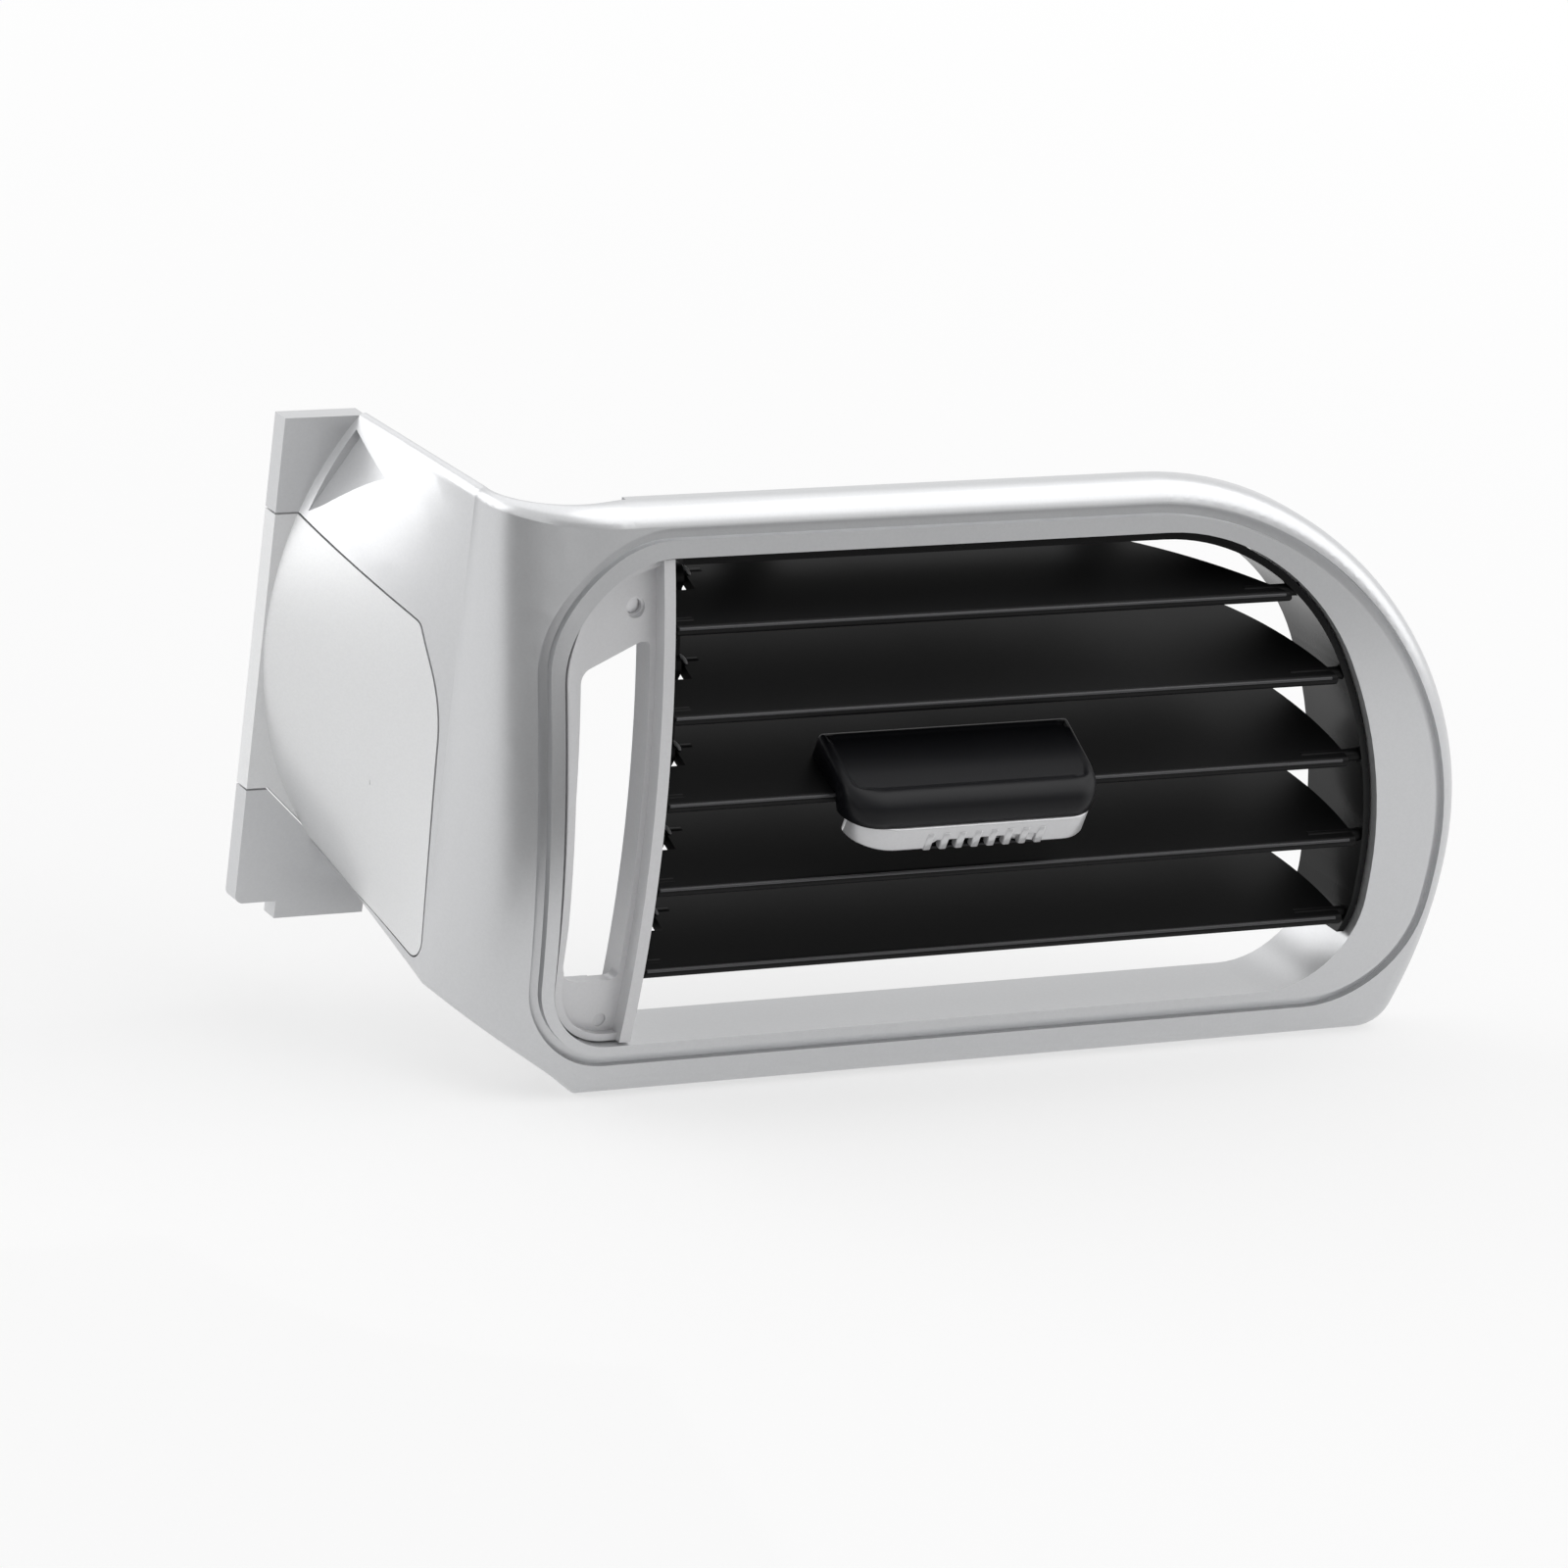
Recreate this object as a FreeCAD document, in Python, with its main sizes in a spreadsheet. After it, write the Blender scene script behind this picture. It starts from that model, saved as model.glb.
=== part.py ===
import FreeCAD
import Part
import Sketcher
import math
import os

# Dashboard air vent, left end of the instrument panel.
# X runs right along the front, Y runs back into the dashboard, Z is up.
# Pieces are drawn from the bottom front edge line, under the louvres' left ends,
# then placed so that the origin is the centre of the two fixing holes, on the flange's rear face.

Vector = FreeCAD.Vector
Placement = FreeCAD.Placement
Rotation = FreeCAD.Rotation

doc = FreeCAD.newDocument("DashboardAirVent")
sheet = doc.addObject("Spreadsheet::Sheet", "Sizes")

SIZES = [
    # curved front face, a cylinder along X
    ("faceRadius", 167.0),
    ("faceMidZ", 38.2),
    # outer outline of the bezel in the front view
    ("bezelHeight", 92.1),
    ("bezelBottom", -0.9),
    ("topArcX", 83.0),
    ("topArcRadius", 60.7),
    ("sideArcRadius", 97.0),
    ("footCornerRadius", 6.5),
    ("edgeRound", 4.5),
    ("wall", 2.4),
    ("bezelDepth", 13.4),
    # opening for the louvres in the front view
    ("openingTop", 84.4),
    ("openingBottom", 8.2),
    ("openingArcX", 85.7),
    ("openingArcRadius", 37.8),
    ("openingArcAngle", 25.8),
    ("openingSideRadius", 82.1),
    ("openingFootRadius", 15.8),
    ("openingLeft", -16.0),
    ("openingLeftSlant", 0.062),
    ("openingTopLeftRadius", 17.5),
    ("openingLowLeftRadius", 10.5),
    ("tunnelWall", 2.0),
    ("tunnelDepth", 16.0),
    # styling groove round the lip
    ("grooveInset", 3.4),
    ("grooveWidth", 1.7),
    ("grooveDepth", 1.2),
    ("grooveLeft", 1.75),
    ("grooveFoot", 5.75),
    # swept corner and flared side wall
    ("cornerX", -7.0),
    ("cornerRadius", 20.8),
    ("creaseTop", 92.1),
    ("undersideSlope", 0.66),
    ("sheetRound", 1.6),
    ("rearBulge", 37.4),
    ("rearBulgeRadius", 55.0),
    ("rearBulgeMidZ", 59.5),
    ("rearTop", 94.2),
    ("rearLow", 18.2),
    ("rearRound", 1.6),
    ("flangeY", 51.0),
    # rear flange and foot
    ("flangeLeft", -44.75),
    ("flangeRight", -19.0),
    ("flangeTop", 93.8),
    ("flangeBottom", 16.0),
    ("flangeDepth", 3.5),
    ("flangeCorner", 1.4),
    ("flangeShoulder", 80.0),
    ("flangeApexX", -31.3),
    ("footLeft", -37.8),
    ("footRight", -22.7),
    ("footBottom", 13.2),
    ("fixingX", -27.0),
    ("fixingLowZ", 35.0),
    ("fixingSpan", 40.0),
    ("fixingRadius", 2.3),
    # side cover and its seam
    ("coverFrontHighY", 27.1),
    ("coverFrontMidY", 22.2),
    ("coverFrontLowY", 21.3),
    ("coverHigh", 69.0),
    ("coverMid", 57.5),
    ("coverLow", 15.6),
    ("coverHeelY", 46.0),
    ("coverHeel", 19.6),
    ("coverRearLow", 25.6),
    ("coverRearHigh", 78.9),
    ("coverCornerHigh", 2.0),
    ("coverCornerMid", 30.0),
    ("coverCornerLow", 3.5),
    ("coverCornerHeel", 6.0),
    ("coverFlangeWidth", 5.6),
    ("coverFlangeLow", 34.4),
    ("coverFlangeBendX", -41.2),
    ("coverFlangeTipX", -31.9),
    ("seamGap", 0.3),
    ("ledge", 1.6),
    ("ledgeReach", 3.0),
    ("ledgeRoot", 2.5),
    # flat facet at the side wall's top rear corner
    ("facetRearY", 49.6),
    ("facetFrontY", 39.7),
    ("facetFrontX", -32.8),
    ("facetFrontZ", 87.5),
    ("facetTopX", -33.2),
    ("facetTopZ", 92.0),
    ("facetLowX", -39.9),
    ("facetLowZ", 79.4),
    ("facetDepth", 1.2),
    # left bracket
    ("bracketSetback", 3.3),
    ("bracketThickness", 2.2),
    ("bracketFit", 0.3),
    ("bracketRight", -0.3),
    ("bracketRim", 1.2),
    ("bracketRimSetback", 1.8),
    ("ribWidth", 1.9),
    ("ribSetback", 0.6),
    ("ribDepth", 8.7),
    ("slotReturnWidth", 0.9),
    ("slotReturnDepth", 3.9),
    ("slotLeftLow", -13.7),
    ("slotLeftHigh", -14.7),
    ("slotLow", 18.4),
    ("slotHigh", 67.3),
    ("slotPeak", 71.5),
    ("slotPeakX", -4.8),
    ("slotRound", 1.5),
    ("slotRoundLow", 4.0),
    ("slotRoundHigh", 2.5),
    ("pivotHoleDepth", 1.4),
    ("bossRadius", 2.4),
    ("bossDishRadius", 1.6),
    ("bossDishDepth", 0.5),
    ("dimpleRadius", 1.1),
    ("bossUpperX", -5.7),
    ("bossUpperZ", 76.6),
    ("bossLowerX", -4.9),
    ("bossLowerZ", 11.6),
    ("bossEnd", 13.6),
    ("screwRadius", 1.2),
    ("screwHeadRadius", 2.3),
    ("screwHeadHeight", 1.6),
    ("screwLength", 7.0),
    ("threadFit", 0.05),
    ("passFit", 0.3),
    ("seatGap", 0.3),
    ("tabThickness", 2.0),
    ("tabMargin", 0.6),
    # louvres
    ("slatPitch", 13.4),
    ("slatLowZ", 19.6),
    ("slatSetback", 0.9),
    ("slatDepth", 21.5),
    ("slatThickness", 1.8),
    ("slatLip", 0.85),
    ("restTilt", 20.0),
    ("slatLeft", 0.2),
    ("slatNeckX", 2.8),
    ("slatNeckBack", 4.5),
    ("slatNotchX", 7.0),
    ("slatNotchBack", 9.0),
    ("pivotBack", 2.2),
    ("pivotRadius", 1.0),
    ("pivotFit", 0.08),
    ("pivotCollar", 1.5),
    ("crankArm", 11.3),
    ("crankRadius", 1.0),
    ("slatRightFront1", 108.6),
    ("slatRightFront2", 117.8),
    ("slatRightFront3", 121.2),
    ("slatRightFront4", 124.6),
    ("slatRightFront5", 124.8),
    ("slatRightRear1", 60.0),
    ("slatRightRear2", 103.5),
    ("slatRightRear3", 114.5),
    ("slatRightRear4", 118.3),
    ("slatRightRear5", 116.8),
    ("slatEndRadius1", 80.0),
    ("slatEndRadius2", 39.0),
    ("slatEndRadius3", 43.0),
    ("slatEndRadius4", 38.0),
    ("slatEndRadius5", 41.0),
    # right carrier
    ("carrierThickness", 1.2),
    ("carrierSetback", 1.5),
    ("carrierDepth", 18.0),
    ("carrierTopX", 1.5),
    ("carrierLowZ", 17.5),
    ("earThickness", 1.7),
    ("earHalf", 3.4),
    ("earRoot", 14.0),
    ("earHighZ", 60.0),
    ("earLowZ", 33.0),
    ("carrierBossRadius", 2.5),
    ("pinStart", 0.2),
    ("pinReachLeft", 3.5),
    ("pinReachRight", 8.0),
    ("pinEndGap", 0.0),
    ("crankReach", 3.0),
    ("crankStart", 0.6),
    # link bar
    ("linkLeft", 4.0),
    ("linkThickness", 2.2),
    ("linkWidth", 3.4),
    ("linkEyeRadius", 2.4),
    ("linkOpenFit", 0.25),
    # sliding knob on the middle louvre
    ("knobLeft", 26.4),
    ("knobLength", 45.8),
    ("knobFront", -6.4),
    ("knobTop", 5.3),
    ("knobNose", 2.6),
    ("knobUpperBack", 13.0),
    ("knobUpperRear", 2.6),
    ("knobLowerBack", 9.0),
    ("knobBottom", -6.0),
    ("knobPlanRound", 4.0),
    ("knobFit", 0.12),
    ("gripTop", 0.3),
    ("gripBottom", -4.0),
    ("gripInset", 1.2),
    ("gripStickOut", 0.5),
    ("toothPitch", 2.8),
    ("toothWidth", 1.2),
    ("toothDepth", 1.5),
    ("knobParting", 0.05),
    ("padLength", 12.0),
    ("padDepth", 4.0),
    ("padThickness", 0.9),
    ("padFront", 1.5),
    ("knobLowerFront", 0.8),
    ("knobLowerNose", 3.0),
    ("knobLowerWall", 1.2),
    ("gripRightShare", 0.3),
    ("toothMiddleShare", 0.58),
    ("toothHeightShare", 0.6),
    # rear tabs with spring clips
    ("clipTabWidth", 9.0),
    ("clipTabThickness", 1.5),
    ("clipTabEnd", 25.0),
    ("clipTabFirstX", 22.0),
    ("clipTabSpan", 62.0),
    ("clipTabRoot", 6.0),
    ("clipTabRise", 0.5),
    ("clipLength", 7.0),
    ("clipSheet", 0.6),
    ("clipWidth", 6.0),
    ("clipFit", 0.05),
    ("clipBarb", 0.8),
    # cover tongues with their clips
    ("tongueWidth", 6.0),
    ("tongueLength", 8.0),
    ("tongueThickness", 1.6),
    ("tongueY", 36.0),
    ("tongueLowZ", 42.0),
    ("tongueSpan", 18.0),
    ("tongueClipLength", 5.0),
    ("tongueClipWidth", 4.0),
    ("tongueClipSheet", 0.5),
    # depth in front of the face and behind it where cutting bodies start and end
    ("cutFront", 6.0),
    ("cutReach", 200.0),
    ("cornerCore", 1.5),
]

for row, (name, value) in enumerate(SIZES, start=1):
    sheet.set("A%d" % row, name)
    sheet.set("B%d" % row, str(value))
    sheet.setAlias("B%d" % row, name)
doc.recompute()


def size(name):
    return float(sheet.get(name))


S = {name: size(name) for name, value in SIZES}
SLATS = (1, 2, 3, 4, 5)


def facePoint(z):
    """Depth of the curved front face at height z."""
    reach = S["faceRadius"]
    return reach - math.sqrt(reach ** 2 - (z - S["faceMidZ"]) ** 2)


def slatZ(number):
    return S["slatLowZ"] + (len(SLATS) - number) * S["slatPitch"]


def slatY(number):
    return facePoint(slatZ(number)) + S["slatSetback"]


def slatPlacement(number):
    turn = Rotation(Vector(1, 0, 0), S["restTilt"])
    return Placement(Vector(0, slatY(number), slatZ(number)), turn)


def slatPoint(number, back):
    """Point on a louvre's chord, a distance back from its front edge."""
    return slatPlacement(number).multVec(Vector(0, back, 0))


# ---- small geometry helpers

def front(x, z, y=0.0):
    return Vector(x, y, z)


def line(a, b):
    return Part.makeLine(a, b)


def arc(a, b, c):
    return Part.Arc(a, b, c).toShape()


def arcAbout(centre, radius, start, end):
    """Arc in the front view about a centre, angles in degrees from +X."""
    spots = []
    for angle in (start, 0.5 * (start + end), end):
        turn = math.radians(angle)
        spots.append(front(centre[0] + radius * math.cos(turn), centre[1] + radius * math.sin(turn)))
    return arc(*spots)


def roundedPolygon(points, radii, lift):
    """Closed wire of straight sides with rounded corners; lift maps (u, v) to a point."""
    count = len(points)
    starts = []
    for index in range(count):
        before = points[index - 1]
        here = points[index]
        after = points[(index + 1) % count]
        inward = (before[0] - here[0], before[1] - here[1])
        onward = (after[0] - here[0], after[1] - here[1])
        inLength = math.hypot(*inward)
        onLength = math.hypot(*onward)
        inUnit = (inward[0] / inLength, inward[1] / inLength)
        onUnit = (onward[0] / onLength, onward[1] / onLength)
        radius = radii[index]
        if radius <= 0:
            starts.append((here, None, here))
            continue
        half = 0.5 * math.acos(inUnit[0] * onUnit[0] + inUnit[1] * onUnit[1])
        cut = radius / math.tan(half)
        first = (here[0] + cut * inUnit[0], here[1] + cut * inUnit[1])
        last = (here[0] + cut * onUnit[0], here[1] + cut * onUnit[1])
        middleUnit = (inUnit[0] + onUnit[0], inUnit[1] + onUnit[1])
        middleLength = math.hypot(*middleUnit)
        reach = radius / math.sin(half) - radius
        middle = (here[0] + reach * middleUnit[0] / middleLength,
                  here[1] + reach * middleUnit[1] / middleLength)
        starts.append((first, middle, last))
    edges = []
    for index in range(count):
        first, middle, last = starts[index]
        following = starts[(index + 1) % count][0]
        if middle is not None:
            edges.append(arc(lift(*first), lift(*middle), lift(*last)))
        if math.hypot(last[0] - following[0], last[1] - following[1]) > 1e-6:
            edges.append(line(lift(*last), lift(*following)))
    return Part.Wire(edges)


def prismY(wire, start, end):
    shape = Part.Face(wire).extrude(Vector(0, end - start, 0))
    shape.translate(Vector(0, start, 0))
    return shape


def block(x0, x1, y0, y1, z0, z1):
    return Part.makeBox(x1 - x0, y1 - y0, z1 - z0, Vector(x0, y0, z0))


def rodY(x, z, radius, y0, y1):
    return Part.makeCylinder(radius, y1 - y0, Vector(x, y0, z), Vector(0, 1, 0))


def rodX(y, z, radius, x0, x1):
    return Part.makeCylinder(radius, x1 - x0, Vector(x0, y, z), Vector(1, 0, 0))


def faceBody(setback, x0=None, x1=None):
    """Everything behind the curved face, moved back by setback."""
    x0 = -S["cutReach"] if x0 is None else x0
    x1 = S["cutReach"] if x1 is None else x1
    centre = Vector(x0, S["faceRadius"], S["faceMidZ"])
    return Part.makeCylinder(S["faceRadius"] - setback, x1 - x0, centre, Vector(1, 0, 0))


# ---- outlines in the front view

def outlineWire(inset):
    """D-shaped outer outline of the front, moved in by inset; its left side is straight."""
    top = S["bezelHeight"] - inset
    bottom = S["bezelBottom"] + inset
    cx = S["topArcX"]
    big = S["topArcRadius"] - inset
    cz = S["bezelHeight"] - S["topArcRadius"]
    side = S["sideArcRadius"] - inset
    sx = cx + S["topArcRadius"] - S["sideArcRadius"]
    corner = S["footCornerRadius"] - inset
    left = S["cornerX"]
    fz = bottom + corner
    fx = sx + math.sqrt((side - corner) ** 2 - (cz - fz) ** 2)
    lowAngle = math.degrees(math.atan2(fz - cz, fx - sx))
    edges = [
        line(front(left, top), front(cx, top)),
        arcAbout((cx, cz), big, 90.0, 0.0),
        arcAbout((sx, cz), side, 0.0, lowAngle),
        arcAbout((fx, fz), corner, lowAngle, -90.0),
        line(front(fx, bottom), front(left, bottom)),
        line(front(left, bottom), front(left, top)),
    ]
    return Part.Wire(edges)


def leftSide(z, shift):
    """X of the opening's slanted left side, moved left by shift."""
    return S["openingLeft"] - S["openingLeftSlant"] * (z - S["faceMidZ"]) - shift


def cornerOnSlant(z, radius, shift, upper):
    """Rounded corner between the slanted left side and a level side at z."""
    sign = 1.0 if upper else -1.0
    lean = math.atan(S["openingLeftSlant"])
    cz = z - sign * radius
    cx = leftSide(cz, shift) + radius / math.cos(lean)
    side = front(cx - radius * math.cos(lean), cz - radius * math.sin(lean))
    level = front(cx, z)
    turn = math.radians(180.0 - sign * 45.0)
    turn = turn + 0.5 * lean
    middle = front(cx + radius * math.cos(turn), cz + radius * math.sin(turn))
    return side, middle, level


def openingWire(shift):
    """Outline of the louvre opening, moved outward by shift (negative moves it in)."""
    top = S["openingTop"] + shift
    bottom = S["openingBottom"] - shift
    cx = S["openingArcX"]
    cz = S["openingTop"] - S["openingArcRadius"]
    radius = S["openingArcRadius"] + shift
    turn = math.radians(S["openingArcAngle"])
    more = S["openingSideRadius"] - S["openingArcRadius"]
    sx = cx - more * math.cos(turn)
    sz = cz - more * math.sin(turn)
    side = S["openingSideRadius"] + shift
    foot = S["openingFootRadius"] + shift
    fx = sx + S["openingSideRadius"] - S["openingFootRadius"]
    fz = S["openingBottom"] + S["openingFootRadius"]
    lowSide, lowMiddle, lowLevel = cornerOnSlant(bottom, S["openingLowLeftRadius"] + shift, shift, False)
    topSide, topMiddle, topLevel = cornerOnSlant(top, S["openingTopLeftRadius"] + shift, shift, True)
    edges = [
        line(topLevel, front(cx, top)),
        arcAbout((cx, cz), radius, 90.0, S["openingArcAngle"]),
        arcAbout((sx, sz), side, S["openingArcAngle"], 0.0),
        line(front(sx + side, sz), front(fx + foot, fz)),
        arcAbout((fx, fz), foot, 0.0, -90.0),
        line(front(fx, bottom), lowLevel),
        arc(lowLevel, lowMiddle, lowSide),
        line(lowSide, topSide),
        arc(topSide, topMiddle, topLevel),
    ]
    return Part.Wire(edges)


def lipWire(inset, foot, shift):
    """Outline of the lip: the outer outline moved in, closed by the opening's left side."""
    top = S["bezelHeight"] - inset
    bottom = S["bezelBottom"] + foot
    cx = S["topArcX"]
    big = S["topArcRadius"] - inset
    cz = S["bezelHeight"] - S["topArcRadius"]
    side = S["sideArcRadius"] - inset
    sx = cx + S["topArcRadius"] - S["sideArcRadius"]
    corner = S["footCornerRadius"] + S["openingFootRadius"] - inset
    fz = bottom + corner
    fx = sx + math.sqrt((side - corner) ** 2 - (cz - fz) ** 2)
    lowAngle = math.degrees(math.atan2(fz - cz, fx - sx))
    grow = S["openingTopLeftRadius"] + shift
    growLow = S["openingLowLeftRadius"] + shift
    lowSide, lowMiddle, lowLevel = cornerOnSlant(bottom, growLow, shift, False)
    topSide, topMiddle, topLevel = cornerOnSlant(top, grow, shift, True)
    edges = [
        line(topLevel, front(cx, top)),
        arcAbout((cx, cz), big, 90.0, 0.0),
        arcAbout((sx, cz), side, 0.0, lowAngle),
        arcAbout((fx, fz), corner, lowAngle, -90.0),
        line(front(fx, bottom), lowLevel),
        arc(lowLevel, lowMiddle, lowSide),
        line(lowSide, topSide),
        arc(topSide, topMiddle, topLevel),
    ]
    return Part.Wire(edges)


# ---- sections of the swept corner and the side wall

def skinEdges(spot, section, offset, plain=False):
    """Top curl, face arc and bottom curl of a section, from the top down, offset inward."""
    bulge, radius, midZ, low, high, curlLow, curlHigh = section
    rc = bulge - radius
    parts = []
    ends = []
    for edge, curl, sign in ((high, curlHigh, 1.0), (low, curlLow, -1.0)):
        z = edge - sign * curl
        r = rc + math.sqrt((radius - curl) ** 2 - (z - midZ) ** 2)
        lean = math.atan2(z - midZ, r - rc)
        half = 0.5 * (lean + sign * math.pi / 2)
        small = max(curl - offset, 0.2)
        end = (r, z + sign * small)
        middle = (r + small * math.cos(half), z + small * math.sin(half))
        touch = (r + small * math.cos(lean), z + small * math.sin(lean))
        parts.append((end, middle, touch, lean))
        ends.append(end)
    topEnd, topMiddle, topTouch, topLean = parts[0]
    lowEnd, lowMiddle, lowTouch, lowLean = parts[1]
    midLean = 0.5 * (topLean + lowLean)
    reach = radius - offset
    faceMiddle = (rc + reach * math.cos(midLean), midZ + reach * math.sin(midLean))
    if plain:
        edges = [
            line(spot(*topEnd), spot(*topTouch)),
            arc(spot(*topTouch), spot(*faceMiddle), spot(*lowTouch)),
            line(spot(*lowTouch), spot(*lowEnd)),
        ]
    else:
        edges = [
            arc(spot(*topEnd), spot(*topMiddle), spot(*topTouch)),
            arc(spot(*topTouch), spot(*faceMiddle), spot(*lowTouch)),
            arc(spot(*lowTouch), spot(*lowMiddle), spot(*lowEnd)),
        ]
    return edges, spot(*topEnd), spot(*lowEnd)


def sheetWire(spot, section, outer, inner):
    """Closed section of the sheet between two offsets from the skin."""
    skin, skinTop, skinLow = skinEdges(spot, section, outer)
    back, backTop, backLow = skinEdges(spot, section, inner, plain=True)
    edges = skin + [line(skinLow, backLow)] + back[::-1] + [line(backTop, skinTop)]
    return Part.Wire(edges)


def solidWire(spot, section, offset, core):
    """Closed section of everything inside the skin, back to a core line."""
    skin, skinTop, skinLow = skinEdges(spot, section, offset)
    bulge, radius, midZ, low, high, curlLow, curlHigh = section
    coreLow = spot(core, low + offset)
    coreTop = spot(core, high - offset)
    edges = skin + [line(skinLow, coreLow), line(coreLow, coreTop), line(coreTop, skinTop)]
    return Part.Wire(edges)


CORNER_TURNS = (0.0, 22.5, 45.0, 67.5, 90.0)
STRAIGHTEST = 0.02


def cornerSection(turn):
    """Section of the swept corner at a turn about its upright axis."""
    sweep = math.radians(turn)
    blend = max(math.cos(sweep) ** 2, STRAIGHTEST)
    part = 1.0 - blend
    high = S["bezelHeight"] + part * (S["creaseTop"] - S["bezelHeight"])
    lowRadius = S["cornerRadius"] - blend * facePoint(S["bezelBottom"])
    low = S["bezelBottom"] + S["undersideSlope"] * lowRadius * math.sin(sweep)
    curl = S["edgeRound"] + part * (S["sheetRound"] - S["edgeRound"])
    return (S["cornerRadius"], S["faceRadius"] / blend, S["faceMidZ"], low, high, curl, curl)


def cornerSpot(turn):
    sweep = math.radians(turn)

    def spot(r, z):
        return Vector(S["cornerX"] - r * math.sin(sweep), S["cornerRadius"] - r * math.cos(sweep), z)
    return spot


def rearSpot(r, z):
    return Vector(S["cornerX"] - r, S["flangeY"], z)


def rearSection():
    return (S["rearBulge"], S["rearBulgeRadius"], S["rearBulgeMidZ"], S["rearLow"], S["rearTop"],
            S["rearRound"], S["rearRound"])


def cornerSheet():
    wires = [sheetWire(cornerSpot(t), cornerSection(t), 0.0, S["wall"]) for t in CORNER_TURNS]
    return Part.makeLoft(wires, True, False)


def cornerSolid(offset):
    wires = [solidWire(cornerSpot(t), cornerSection(t), offset, S["cornerCore"]) for t in CORNER_TURNS]
    return Part.makeLoft(wires, True, False)


def sideSheet(outer, inner):
    wires = [
        sheetWire(cornerSpot(CORNER_TURNS[-1]), cornerSection(CORNER_TURNS[-1]), outer, inner),
        sheetWire(rearSpot, rearSection(), outer, inner),
    ]
    return Part.makeLoft(wires, True, True)


def sideLayer(outer, inner):
    """Plain layer under the side wall, between two offsets from its skin."""
    wires = []
    for spot, section in ((cornerSpot(CORNER_TURNS[-1]), cornerSection(CORNER_TURNS[-1])),
                          (rearSpot, rearSection())):
        bulge, radius, midZ, low, high, curlLow, curlHigh = section
        rc = bulge - radius
        top = high - curlHigh
        bottom = low + curlLow
        corners = []
        for offset in (outer, inner):
            reach = radius - offset
            spots = []
            for z in (top, 0.5 * (top + bottom), bottom):
                spots.append((rc + math.sqrt(reach ** 2 - (z - midZ) ** 2), z))
            corners.append(spots)
        skin, back = corners
        edges = [
            arc(spot(*skin[0]), spot(*skin[1]), spot(*skin[2])),
            line(spot(*skin[2]), spot(*back[2])),
            arc(spot(*back[2]), spot(*back[1]), spot(*back[0])),
            line(spot(*back[0]), spot(*skin[0])),
        ]
        wires.append(Part.Wire(edges))
    return Part.makeLoft(wires, True, True)


def offsetCorners(points, grow):
    """Corners of a clockwise polygon after each side has moved outward by grow."""
    count = len(points)
    sides = []
    for index in range(count):
        u0, v0 = points[index]
        u1, v1 = points[(index + 1) % count]
        length = math.hypot(u1 - u0, v1 - v0)
        nu, nv = (v0 - v1) / length, (u1 - u0) / length
        sides.append((nu, nv, nu * u0 + nv * v0 + grow))
    corners = []
    for index in range(count):
        a1, b1, c1 = sides[index - 1]
        a2, b2, c2 = sides[index]
        turn = a1 * b2 - a2 * b1
        corners.append(((c1 * b2 - c2 * b1) / turn, (a1 * c2 - a2 * c1) / turn))
    return corners


def coverPrism(grow):
    """Region of the side cover in the side view, grown by grow."""
    rear = S["flangeY"] + S["flangeDepth"] + S["cutFront"]
    points = [
        (S["coverFrontLowY"], S["coverLow"]),
        (S["coverFrontMidY"], S["coverMid"]),
        (S["coverFrontHighY"], S["coverHigh"]),
        (S["flangeY"], S["coverRearHigh"]),
        (rear, S["coverRearHigh"]),
        (rear, S["coverRearLow"]),
        (S["flangeY"], S["coverRearLow"]),
        (S["coverHeelY"], S["coverHeel"]),
    ]
    radii = [max(S["coverCornerLow"] + grow, S["seamGap"]), S["coverCornerMid"],
             max(S["coverCornerHigh"] + grow, S["seamGap"]), 0, 0, 0, 0, S["coverCornerHeel"]]
    x0 = S["flangeLeft"] - S["cutFront"]
    x1 = S["cornerX"] - 0.8 * S["cornerRadius"]
    wire = roundedPolygon(offsetCorners(points, grow), radii, lambda y, z: Vector(x0, y, z))
    return Part.Face(wire).extrude(Vector(x1 - x0, 0, 0))


# ---- bezel

def frontBlock(inset, depth, rounding, start):
    """Front of the bezel as a full block; rounding is the radius of its front edge, or 0."""
    body = prismY(outlineWire(inset), start, depth).common(faceBody(inset))
    if rounding <= 0:
        return body
    picks = []
    for edge in body.Edges:
        box = edge.BoundBox
        onLeft = box.XMax < S["cornerX"] + 0.01
        onRear = box.YMin > depth - 0.01
        middle = edge.valueAt(0.5 * (edge.FirstParameter + edge.LastParameter))
        ring = abs(math.hypot(middle.y - S["faceRadius"], middle.z - S["faceMidZ"])
                   - (S["faceRadius"] - inset)) < 0.01
        if ring and middle.y < 0.5 * S["faceRadius"] and not onLeft and not onRear:
            picks.append(edge)
    return body.makeFillet(rounding, picks)


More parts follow.
